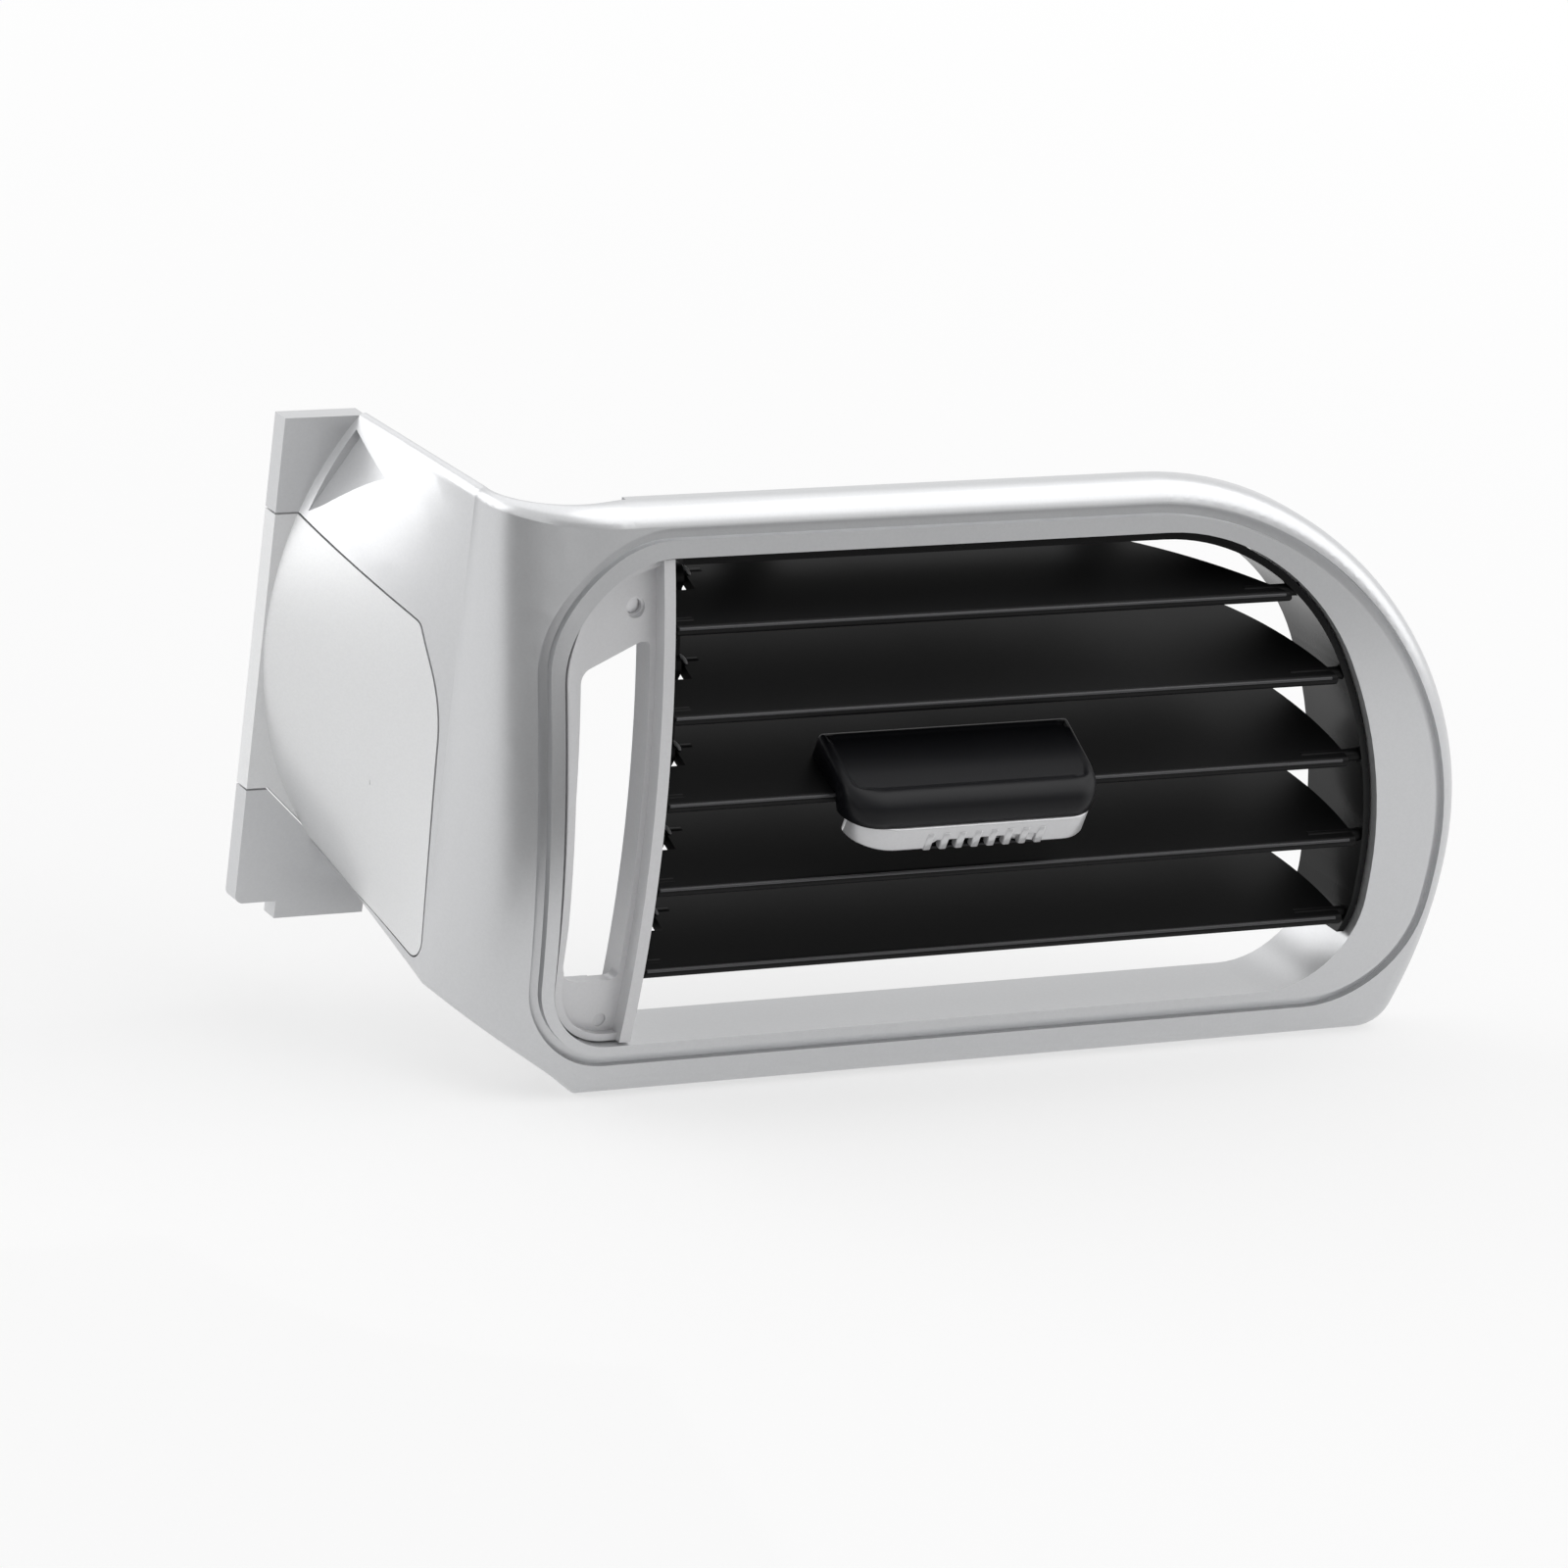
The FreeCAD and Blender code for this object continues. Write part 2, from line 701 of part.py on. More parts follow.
def flangeShape():
    left = S["flangeLeft"]
    right = S["flangeRight"]
    points = [
        (left, S["flangeBottom"]),
        (left, S["flangeTop"]),
        (S["flangeApexX"], S["flangeTop"]),
        (right, S["flangeShoulder"]),
        (right, S["flangeBottom"]),
    ]
    radii = [S["flangeCorner"], 0, 0, S["flangeCorner"], S["flangeCorner"]]
    y0 = S["flangeY"]
    y1 = y0 + S["flangeDepth"]
    plate = prismY(roundedPolygon(points, radii, front), y0, y1)
    rim = S["wall"]
    hollow = [
        (left + rim, S["flangeBottom"] + rim),
        (left + rim, S["flangeTop"] - rim),
        (S["flangeApexX"] - 0.5 * rim, S["flangeTop"] - rim),
        (right - rim, S["flangeShoulder"] - rim),
        (right - rim, S["flangeBottom"] + rim),
    ]
    plate = plate.cut(prismY(roundedPolygon(hollow, [0] * len(hollow), front), y0 + rim, y1 + 1.0))
    foot = block(S["footLeft"], S["footRight"], y0, y1, S["footBottom"], S["flangeBottom"] + rim)
    foot = foot.cut(block(S["footLeft"] + rim, S["footRight"] - rim, y0 + rim, y1 + 1.0,
                          S["footBottom"] + rim, S["flangeBottom"] + 2 * rim))
    plate = plate.fuse(foot)
    for step in (0, 1):
        z = S["fixingLowZ"] + step * S["fixingSpan"]
        plate = plate.fuse(rodY(S["fixingX"], z, S["fixingRadius"] + rim, y0, y1))
        plate = plate.cut(rodY(S["fixingX"], z, S["fixingRadius"], y0 - 1.0, y1 + 1.0))
    return plate


def coverFlangeRegion(grow):
    """Block of the flange that belongs to the side cover."""
    left = S["flangeLeft"] - S["cutFront"]
    inside = S["flangeLeft"] + S["coverFlangeWidth"]
    points = [
        (left, S["coverFlangeLow"]),
        (left, S["coverRearHigh"]),
        (inside, S["coverRearHigh"]),
        (inside, S["coverFlangeLow"] + S["coverFlangeWidth"]),
        (S["coverFlangeTipX"] + 0.5 * S["wall"], S["coverRearLow"] + 0.5 * S["wall"]),
        (S["coverFlangeTipX"], S["coverRearLow"]),
        (S["coverFlangeBendX"], S["coverFlangeLow"]),
    ]
    wire = roundedPolygon(offsetCorners(points, grow), [0] * len(points), front)
    return prismY(wire, S["flangeY"] - 0.001, S["flangeY"] + S["flangeDepth"] + S["cutFront"])


def screwPlaces():
    return ((S["bossUpperX"], S["bossUpperZ"]), (S["bossLowerX"], S["bossLowerZ"]))


def openingSideX(z, shift):
    """X of the opening's right side at height z, moved outward by shift."""
    cx = S["openingArcX"]
    cz = S["openingTop"] - S["openingArcRadius"]
    turn = math.radians(S["openingArcAngle"])
    more = S["openingSideRadius"] - S["openingArcRadius"]
    sx = cx - more * math.cos(turn)
    sz = cz - more * math.sin(turn)
    fx = sx + S["openingSideRadius"] - S["openingFootRadius"]
    fz = S["openingBottom"] + S["openingFootRadius"]
    if z > cz + (S["openingArcRadius"]) * math.sin(turn):
        return cx + math.sqrt((S["openingArcRadius"] + shift) ** 2 - (z - cz) ** 2)
    if z > sz:
        return sx + math.sqrt((S["openingSideRadius"] + shift) ** 2 - (z - sz) ** 2)
    if z > fz:
        return fx + S["openingFootRadius"] + shift
    return fx + math.sqrt((S["openingFootRadius"] + shift) ** 2 - (z - fz) ** 2)


def earPlaces():
    places = []
    for z in (S["earHighZ"], S["earLowZ"]):
        x = openingSideX(z, S["tunnelWall"]) + S["carrierBossRadius"]
        places.append((x, z))
    return places


def clipTabs():
    """Centre X, Z span and root depth of each rear tab; top ones sit on the tunnel, low ones on the wall."""
    tabs = []
    for step in (0, 1):
        x = S["clipTabFirstX"] + step * S["clipTabSpan"]
        top = S["openingTop"] + S["clipTabRise"]
        low = S["bezelBottom"] + S["wall"] - 0.4 * S["clipTabThickness"]
        tabs.append((x, top, top + S["clipTabThickness"], S["tunnelDepth"]))
        tabs.append((x, low, low + S["clipTabThickness"], S["bezelDepth"]))
    return tabs


def wedge(inner, outer):
    """Solid between two triangles given corner by corner."""
    faces = []
    triangles = [inner, outer]
    for index in range(3):
        nearer = (index + 1) % 3
        triangles.append([inner[index], inner[nearer], outer[nearer]])
        triangles.append([inner[index], outer[nearer], outer[index]])
    for corners in triangles:
        faces.append(Part.Face(Part.makePolygon(corners + [corners[0]])))
    return Part.Solid(Part.Shell(faces))


def facetCut():
    """Wedge that takes a flat facet off the side wall's top rear corner."""
    top = Vector(S["facetTopX"], S["facetRearY"], S["facetTopZ"])
    frontSpot = Vector(S["facetFrontX"], S["facetFrontY"], S["facetFrontZ"])
    low = Vector(S["facetLowX"], S["facetRearY"], S["facetLowZ"])
    outward = Vector(-math.cos(math.radians(S["restTilt"])), 0, math.sin(math.radians(S["restTilt"])))
    inner = [top.sub(outward * S["facetDepth"]), frontSpot, low]
    outer = [spot.add(outward * (4 * S["facetDepth"])) for spot in (top, frontSpot, low)]
    return wedge(inner, outer)


def makeBezel():
    start = -S["cutFront"]
    far = S["cutReach"]
    outer = frontBlock(0.0, S["bezelDepth"], S["edgeRound"], start)
    inner = frontBlock(S["wall"], S["bezelDepth"] + S["cutFront"], 0.0, start)
    shell = outer.cut(inner)
    corner = cornerSheet()
    side = sideSheet(0.0, S["wall"]).cut(coverPrism(0.0)).cut(facetCut())
    layer = sideLayer(S["wall"], S["wall"] + S["ledge"])
    seat = layer.common(coverPrism(S["ledgeRoot"])).cut(coverPrism(-S["ledgeReach"]))
    flange = flangeShape().cut(coverFlangeRegion(0.0))
    envelope = outer.fuse(cornerSolid(0.0))
    ring = prismY(openingWire(S["tunnelWall"]), start, S["tunnelDepth"])
    ring = ring.cut(block(-far, S["cornerX"], S["bezelDepth"], far, -far, far))
    behind = prismY(openingWire(S["tunnelWall"]), S["bezelDepth"], S["tunnelDepth"])
    tunnel = ring.common(envelope).fuse(behind)
    shape = shell.fuse([corner, side, seat, flange, tunnel])
    shape = shape.cut(prismY(openingWire(0.0), start - 1.0, S["tunnelDepth"] + 1.0))

    # styling groove, cut into the face to a set depth
    wide = S["grooveWidth"]
    band = prismY(lipWire(S["grooveInset"], S["grooveFoot"], S["grooveLeft"] + wide), start, far)
    band = band.cut(prismY(lipWire(S["grooveInset"] + wide, S["grooveFoot"] + wide, S["grooveLeft"]),
                           start - 1.0, far + 1.0))
    floor = faceBody(S["grooveDepth"], S["cornerX"]).fuse(cornerSolid(S["grooveDepth"]))
    shape = shape.cut(band.cut(floor).common(block(-far, far, start, S["cornerRadius"], -far, far)))

    # tabs that take the bracket's screws, behind the tunnel's left end
    extras = []
    within = prismY(openingWire(0.5 * S["tunnelWall"]), 0.0, far)
    y1 = S["tunnelDepth"]
    y0 = y1 - S["tabThickness"]
    half = S["bossRadius"] + S["tabMargin"]
    x, z = screwPlaces()[0]
    extras.append(block(x - half, x + half, y0, y1, z - half, S["openingTop"] + S["tunnelWall"]).common(within))
    x, z = screwPlaces()[1]
    extras.append(block(x - half, x + half, y0, y1, S["openingBottom"] - S["tunnelWall"],
                        z + half).common(within))
    # bosses for the carrier's screws, in the channel beside the tunnel
    for x, z in earPlaces():
        extras.append(rodY(x, z, S["carrierBossRadius"], facePoint(z) + 0.5 * S["wall"], S["tunnelDepth"]))
    for x, z0, z1, root in clipTabs():
        half = 0.5 * S["clipTabWidth"]
        extras.append(block(x - half, x + half, root - S["clipTabRoot"], S["clipTabEnd"], z0, z1))
    shape = shape.fuse(extras)
    for x, z in screwPlaces():
        shape = shape.cut(rodY(x, z, S["screwRadius"] + S["passFit"], y0 - 1.0, y1 + 1.0))
    for x, z in earPlaces():
        depth = S["screwLength"] + 1.0
        shape = shape.cut(rodY(x, z, S["screwRadius"] + S["threadFit"], S["tunnelDepth"] - depth,
                               S["tunnelDepth"] + 1.0))
    return shape.removeSplitter()


# ---- side cover

def tonguePlaces():
    return [S["tongueLowZ"] + step * S["tongueSpan"] for step in (0, 1)]


def sideSkinX(y, z):
    """X of the side wall's skin at a depth and height, between crease and rear section."""
    part = (y - S["cornerRadius"]) / (S["flangeY"] - S["cornerRadius"])
    spots = []
    for section in (cornerSection(CORNER_TURNS[-1]), rearSection()):
        bulge, radius, midZ = section[:3]
        spots.append(bulge - radius + math.sqrt(radius ** 2 - (z - midZ) ** 2))
    return S["cornerX"] - (spots[0] + part * (spots[1] - spots[0]))


def makeCover():
    gap = S["seamGap"]
    skin = sideSheet(0.0, S["wall"] - gap).common(coverPrism(-gap))
    strip = flangeShape().common(coverFlangeRegion(-gap))
    shape = skin.fuse(strip)
    for z in tonguePlaces():
        x0 = sideSkinX(S["tongueY"], z) + 0.5 * S["wall"]
        x1 = x0 + S["tongueLength"]
        half = 0.5 * S["tongueWidth"]
        thick = 0.5 * S["tongueThickness"]
        shape = shape.fuse(block(x0, x1, S["tongueY"] - half, S["tongueY"] + half, z - thick, z + thick))
    return shape.removeSplitter()


def clipLoop(width, sheetThickness, gap, thick, length):
    """Spring clip round a tab: a U along local X, opening towards -X, with two barbs."""
    inner = 0.5 * thick + gap
    outer = inner + sheetThickness
    shape = Part.makeBox(length, width, 2 * outer, Vector(0, -0.5 * width, -outer))
    shape = shape.cut(Part.makeBox(length - sheetThickness, width + 2, 2 * inner,
                                   Vector(-0.001, -0.5 * width - 1, -inner)))
    for sign in (1.0, -1.0):
        tip = outer + S["clipBarb"]
        points = [Vector(length, 0, sign * outer), Vector(0.45 * length, 0, sign * tip),
                  Vector(0.25 * length, 0, sign * outer)]
        barb = Part.Face(Part.makePolygon(points + [points[0]])).extrude(Vector(0, width, 0))
        barb.translate(Vector(0, -0.5 * width, 0))
        shape = shape.fuse(barb)
    return shape.removeSplitter()


# ---- left bracket

def makeBracket():
    fit = S["bracketFit"]
    setback = S["bracketSetback"]
    far = S["cutReach"]
    outline = prismY(openingWire(-fit), -S["cutFront"], far)
    inside = prismY(openingWire(-fit - S["bracketRim"]), -far, far)
    left = block(-far, S["bracketRight"], -far, far, -far, far)
    plate = faceBody(setback).cut(faceBody(setback + S["bracketThickness"]))
    plate = plate.common(outline).common(left)
    ribLeft = S["bracketRight"] - S["ribWidth"]
    slotRight = ribLeft - S["slotReturnWidth"]
    points = [
        (S["slotLeftLow"], S["slotLow"]),
        (S["slotLeftHigh"], S["slotHigh"]),
        (S["slotPeakX"], S["slotPeak"]),
        (slotRight, S["slotPeak"]),
        (slotRight, S["slotLow"]),
    ]
    radii = [S["slotRoundLow"], S["slotRoundHigh"], 0.5 * S["slotRound"], 0.5 * S["slotRound"], S["slotRound"]]
    slot = prismY(roundedPolygon(points, radii, front), -S["cutFront"], far)
    plate = plate.cut(slot)
    edge = faceBody(S["bracketRimSetback"]).cut(faceBody(setback + 0.5 * S["bracketThickness"]))
    edge = edge.common(outline).cut(inside).common(block(-far, ribLeft, -far, far, -far, far)).cut(slot)
    rib = faceBody(S["ribSetback"]).cut(faceBody(S["ribSetback"] + S["ribDepth"]))
    rib = rib.common(block(ribLeft, S["bracketRight"], -far, far, -far, far)).common(outline)
    behind = faceBody(setback).cut(faceBody(setback + S["slotReturnDepth"]))
    behind = behind.common(block(slotRight, ribLeft, -far, far, S["slotLow"], S["slotPeak"]))
    parts = [edge, rib, behind]
    for x, z in screwPlaces():
        parts.append(rodY(x, z, S["bossRadius"], facePoint(z) + setback + 0.5 * S["bracketThickness"],
                          S["bossEnd"]))
    shape = plate.fuse(parts)
    for number in SLATS:
        spot = slatPoint(number, S["pivotBack"])
        shape = shape.cut(rodX(spot.y, spot.z, S["pivotRadius"] + S["pivotFit"],
                               S["bracketRight"] - S["pivotHoleDepth"], S["bracketRight"] + 1.0))
    dishes = (S["bossDishRadius"], S["dimpleRadius"])
    for (x, z), dish in zip(screwPlaces(), dishes):
        floor = facePoint(z) + setback + S["bossDishDepth"]
        shape = shape.cut(rodY(x, z, dish, floor - 2 * S["bossDishDepth"] - 1.0, floor))
        shape = shape.cut(rodY(x, z, S["screwRadius"] + S["threadFit"], S["bossEnd"] - S["screwLength"] + 1.0,
                               S["bossEnd"] + 1.0))
    return shape.removeSplitter()


# ---- right carrier

def makeCarrier():
    fit = S["bracketFit"]
    far = S["cutReach"]
    ring = prismY(openingWire(-fit), -S["cutFront"], S["carrierDepth"])
    ring = ring.cut(prismY(openingWire(-fit - S["carrierThickness"]), -S["cutFront"] - 1.0,
                           S["carrierDepth"] + 1.0))
    region = block(S["carrierTopX"], far, -far, far, S["carrierLowZ"], far)
    shape = ring.common(region).common(faceBody(S["carrierSetback"]))
    y0 = S["tunnelDepth"] + S["seatGap"]
    y1 = S["carrierDepth"]
    outside = prismY(openingWire(-fit - 0.5 * S["carrierThickness"]), -S["cutFront"], far)
    for x, z in earPlaces():
        reach = x + S["earHalf"]
        ear = block(x - S["earRoot"], reach, y0, y1, z - S["earHalf"], z + S["earHalf"]).cut(outside)
        shape = shape.fuse(ear)
    for x, z in earPlaces():
        shape = shape.cut(rodY(x, z, S["screwRadius"] + S["passFit"], y0 - 1.0, y1 + 1.0))
    for number in SLATS:
        spot = slatPoint(number, S["pivotBack"])
        shape = shape.cut(rodX(spot.y, spot.z, S["pivotRadius"] + S["pivotFit"],
                               0.5 * S["slatRightFront1"], far))
    return shape.removeSplitter()


# ---- link bar between the louvres' crank pins

def makeLinkBar():
    x0 = S["linkLeft"]
    x1 = x0 + S["linkThickness"]
    spots = [slatPoint(number, S["pivotBack"] + S["crankArm"]) for number in SLATS]
    pieces = []
    for spot in spots:
        pieces.append(rodX(spot.y, spot.z, S["linkEyeRadius"], x0, x1))
    for upper, lower in zip(spots[:-1], spots[1:]):
        along = upper.sub(lower)
        along.normalize()
        across = Vector(0, -along.z, along.y).multiply(0.5 * S["linkWidth"])
        corners = [upper.add(across), upper.sub(across), lower.sub(across), lower.add(across)]
        corners = [Vector(x0, c.y, c.z) for c in corners]
        face = Part.Face(Part.makePolygon(corners + [corners[0]]))
        pieces.append(face.extrude(Vector(x1 - x0, 0, 0)))
    shape = pieces[0].fuse(pieces[1:])
    for number, spot in zip(SLATS, spots):
        fit = S["pivotFit"] if number == 3 else S["linkOpenFit"]
        shape = shape.cut(rodX(spot.y, spot.z, S["crankRadius"] + fit, x0 - 1.0, x1 + 1.0))
    return shape.removeSplitter()


# ---- knob pieces, in the middle louvre's own frame: X along it, Y back, Z up from its chord

def knobPlan(inset, back, y0):
    """Plan of the knob with rounded front corners, as a tall prism."""
    x0 = S["knobLeft"] + inset
    x1 = S["knobLeft"] + S["knobLength"] - inset
    points = [(x0, y0), (x1, y0), (x1, back), (x0, back)]
    radii = [S["knobPlanRound"], S["knobPlanRound"], 0.5, 0.5]
    wire = roundedPolygon(points, radii, lambda x, y: Vector(x, y, -20.0))
    return Part.Face(wire).extrude(Vector(0, 0, 40))


def alongX(points, radii, x0, x1):
    wire = roundedPolygon(points, radii, lambda y, z: Vector(x0, y, z))
    return Part.Face(wire).extrude(Vector(x1 - x0, 0, 0))


def knobEnds():
    return S["knobLeft"] - 1.0, S["knobLeft"] + S["knobLength"] + 1.0


def slatClear():
    return 0.5 * S["slatThickness"] + S["knobFit"]


def makeKnobUpper():
    clear = slatClear()
    x0, x1 = knobEnds()
    step = S["gripTop"] + S["knobParting"]
    back = S["knobUpperBack"]
    points = [
        (S["knobFront"], step),
        (S["knobFront"], S["knobTop"]),
        (back, S["knobUpperRear"]),
        (back, clear),
        (-S["knobFit"] * 2, clear),
        (-S["knobFit"] * 2, step),
    ]
    shape = alongX(points, [0, S["knobNose"], 0.5, 0, 0, 0], x0, x1)
    return shape.common(knobPlan(0.0, back, S["knobFront"]))


def makeKnobLower():
    clear = slatClear()
    x0, x1 = knobEnds()
    step = S["gripBottom"] - S["knobParting"]
    back = S["knobLowerBack"]
    points = [
        (S["knobFront"] + S["knobLowerFront"], step),
        (-S["knobFit"] * 2, step),
        (-S["knobFit"] * 2, -clear),
        (back, -clear),
        (back, -clear - S["knobLowerWall"]),
        (S["knobFront"] + S["knobLowerNose"], S["knobBottom"]),
        (S["knobFront"] + S["knobLowerFront"], S["knobBottom"] + 0.5 * S["knobLowerWall"]),
    ]
    shape = alongX(points, [0, 0, 0, 0, 0.4, 1.0, 0.6], x0, x1)
    shape = shape.common(knobPlan(S["gripInset"], back, S["knobFront"] + S["knobLowerFront"]))
    return shape.cut(padBox(S["knobFit"]))


def padBox(gap):
    """Friction pad in its pocket, under the louvre."""
    middle = S["knobLeft"] + 0.5 * S["knobLength"]
    half = 0.5 * S["padLength"]
    y0 = S["padFront"]
    top = -slatClear()
    return block(middle - half - gap, middle + half + gap, y0 - gap, y0 + S["padDepth"] + gap,
                 top - S["padThickness"] - gap, top + (1.0 if gap else 0.0))


def makeKnobGrip():
    x0 = S["knobLeft"] + S["gripInset"]
    x1 = S["knobLeft"] + S["knobLength"] - S["gripInset"] * S["gripRightShare"]
    y0 = S["knobFront"] - S["gripStickOut"]
    points = [(x0, y0), (x1, y0), (x1, -S["knobFit"] * 4), (x0, -S["knobFit"] * 4)]
    radii = [S["knobPlanRound"], S["knobPlanRound"], 0.5, 0.5]
    wire = roundedPolygon(points, radii, lambda x, y: Vector(x, y, S["gripBottom"]))
    shape = Part.Face(wire).extrude(Vector(0, 0, S["gripTop"] - S["gripBottom"]))
    middle = S["knobLeft"] + S["toothMiddleShare"] * S["knobLength"]
    for step in range(-3, 4):
        x = middle + step * S["toothPitch"]
        half = 0.5 * S["toothWidth"]
        shape = shape.cut(block(x - half, x + half, y0 - 1.0, y0 + S["toothDepth"],
                                S["gripBottom"] - 1.0,
                                S["gripBottom"] + S["toothHeightShare"] * (S["gripTop"] - S["gripBottom"])))
    return shape


# ---- fasteners

def screwSet(places, headY):
    """Pan-head screws driven forward from behind."""
    solids = []
    for x, z in places:
        shank = rodY(x, z, S["screwRadius"], headY - S["screwLength"], headY)
        head = rodY(x, z, S["screwHeadRadius"], headY, headY + S["screwHeadHeight"])
        solids.append(shank.fuse(head).removeSplitter())
    return Part.makeCompound(solids)


def makeMountingClips():
    solids = []
    length = S["clipLength"]
    for x, z0, z1, root in clipTabs():
        clip = clipLoop(S["clipWidth"], S["clipSheet"], S["clipFit"], S["clipTabThickness"], length)
        turn = Rotation(Vector(0, 0, 1), 90.0)
        clip.Placement = Placement(Vector(x, S["clipTabEnd"] - length + S["clipSheet"] + S["clipFit"],
                                          0.5 * (z0 + z1)), turn)
        solids.append(clip)
    return Part.makeCompound(solids)


def makeCoverClips():
    solids = []
    length = S["tongueClipLength"]
    gauge = S["tongueClipSheet"]
    for z in tonguePlaces():
        end = sideSkinX(S["tongueY"], z) + 0.5 * S["wall"] + S["tongueLength"]
        clip = clipLoop(S["tongueClipWidth"], gauge, S["clipFit"], S["tongueThickness"], length)
        clip.Placement = Placement(Vector(end - length + gauge + S["clipFit"], S["tongueY"], z), Rotation())
        solids.append(clip)
    return Part.makeCompound(solids)


# ---- louvres, each a padded plan sketch with its pins

def originPlane(body, role):
    for feature in body.Origin.OriginFeatures:
        if feature.Role == role:
            return feature
    raise ValueError(role)


def bindPoint(sketch, index, point, exprX, exprY):
    """Hold one sketch point at the named sizes."""
    spot = sketch.getPoint(index, point)
    for kind, value, expression in (("DistanceX", spot.x, exprX), ("DistanceY", spot.y, exprY)):
        number = sketch.addConstraint(Sketcher.Constraint(kind, -1, 1, index, point, value))
        sketch.setExpression("Constraints[%d]" % number, expression)


def makeSlat(number):
    body = doc.addObject("PartDesign::Body", "Slat%d" % number)
    body.Label = "slat_%d" % number
    sketch = body.newObject("Sketcher::SketchObject", "SlatPlan%d" % number)
    sketch.AttachmentSupport = (originPlane(body, "XY_Plane"), [""])
    sketch.MapMode = "FlatFace"
    rightFront = "Sizes.slatRightFront%d" % number
    rightRear = "Sizes.slatRightRear%d" % number
    a = Vector(S["slatRightFront%d" % number], 0, 0)
    b = Vector(S["slatRightRear%d" % number], S["slatDepth"], 0)
    outline = [
        (S["slatLeft"], 0.0, "Sizes.slatLeft", "0"),
        (a.x, 0.0, rightFront, "0"),
        (b.x, b.y, rightRear, "Sizes.slatDepth"),
        (S["slatNotchX"], S["slatDepth"], "Sizes.slatNotchX", "Sizes.slatDepth"),
        (S["slatNotchX"], S["slatNotchBack"], "Sizes.slatNotchX", "Sizes.slatNotchBack"),
        (S["slatNeckX"], S["slatNotchBack"], "Sizes.slatNeckX", "Sizes.slatNotchBack"),
        (S["slatLeft"], S["slatNeckBack"], "Sizes.slatLeft", "Sizes.slatNeckBack"),
    ]
    radius = S["slatEndRadius%d" % number]
    chord = b.sub(a)
    half = 0.5 * chord.Length
    middle = a.add(b).multiply(0.5)
    inward = Vector(-chord.y, chord.x, 0).normalize()
    centre = middle.add(inward.multiply(math.sqrt(radius ** 2 - half ** 2)))
    startTurn = math.atan2(a.y - centre.y, a.x - centre.x)
    endTurn = math.atan2(b.y - centre.y, b.x - centre.x)
    count = len(outline)
    for index in range(count):
        x0, y0 = outline[index][:2]
        x1, y1 = outline[(index + 1) % count][:2]
        if index == 1:
            ring = Part.Circle(centre, Vector(0, 0, 1), radius)
            sketch.addGeometry(Part.ArcOfCircle(ring, startTurn, endTurn), False)
        else:
            sketch.addGeometry(Part.LineSegment(Vector(x0, y0, 0), Vector(x1, y1, 0)), False)
    for index in range(count):
        sketch.addConstraint(Sketcher.Constraint("Coincident", index, 2, (index + 1) % count, 1))
    for index, (x, y, exprX, exprY) in enumerate(outline):
        bindPoint(sketch, index, 1, exprX, exprY)
    last = sketch.addConstraint(Sketcher.Constraint("Radius", 1, radius))
    sketch.setExpression("Constraints[%d]" % last, "Sizes.slatEndRadius%d" % number)
    pad = body.newObject("PartDesign::Pad", "SlatPad%d" % number)
    pad.Profile = sketch
    pad.Midplane = True
    pad.setExpression("Length", "Sizes.slatThickness")
    doc.recompute()
    edges = []
    for index, edge in enumerate(pad.Shape.Edges, start=1):
        box = edge.BoundBox
        if box.YMax < 0.01 and box.XLength > 20.0:
            edges.append("Edge%d" % index)
    lip = body.newObject("PartDesign::Fillet", "SlatLip%d" % number)
    lip.Base = (pad, edges)
    lip.setExpression("Radius", "Sizes.slatLip")
    doc.recompute()
    spot = slatPoint(number, S["pivotBack"])
    wallX = openingSideX(spot.z, -S["bracketFit"])
    pivotEnd = wallX - 0.5 * S["carrierThickness"] + S["pinEndGap"]
    slatPin(body, "LeftPin%d" % number, "Sizes.pivotBack", "Sizes.pivotRadius",
            S["bracketRight"] - S["pivotHoleDepth"] + S["pinStart"], S["pinReachLeft"])
    slatPin(body, "RightPin%d" % number, "Sizes.pivotBack", "Sizes.pivotRadius",
            S["slatRightFront%d" % number] - S["pinReachRight"], pivotEnd)
    slatPin(body, "Crank%d" % number, "Sizes.pivotBack + Sizes.crankArm", "Sizes.crankRadius",
            S["linkLeft"] - S["crankStart"], S["slatNotchX"] + S["crankReach"])
    z = "Sizes.slatLowZ + %d * Sizes.slatPitch" % (len(SLATS) - number)
    y = ("Sizes.faceRadius - sqrt(Sizes.faceRadius ^ 2 - (%s - Sizes.faceMidZ) ^ 2)"
         " + Sizes.slatSetback" % z)
    body.Placement = slatPlacement(number)
    body.setExpression(".Placement.Base.x", "-Sizes.fixingX")
    body.setExpression(".Placement.Base.y", y + " - Sizes.flangeY - Sizes.flangeDepth")
    body.setExpression(".Placement.Base.z", z + " - Sizes.fixingLowZ - Sizes.fixingSpan / 2")
    return body


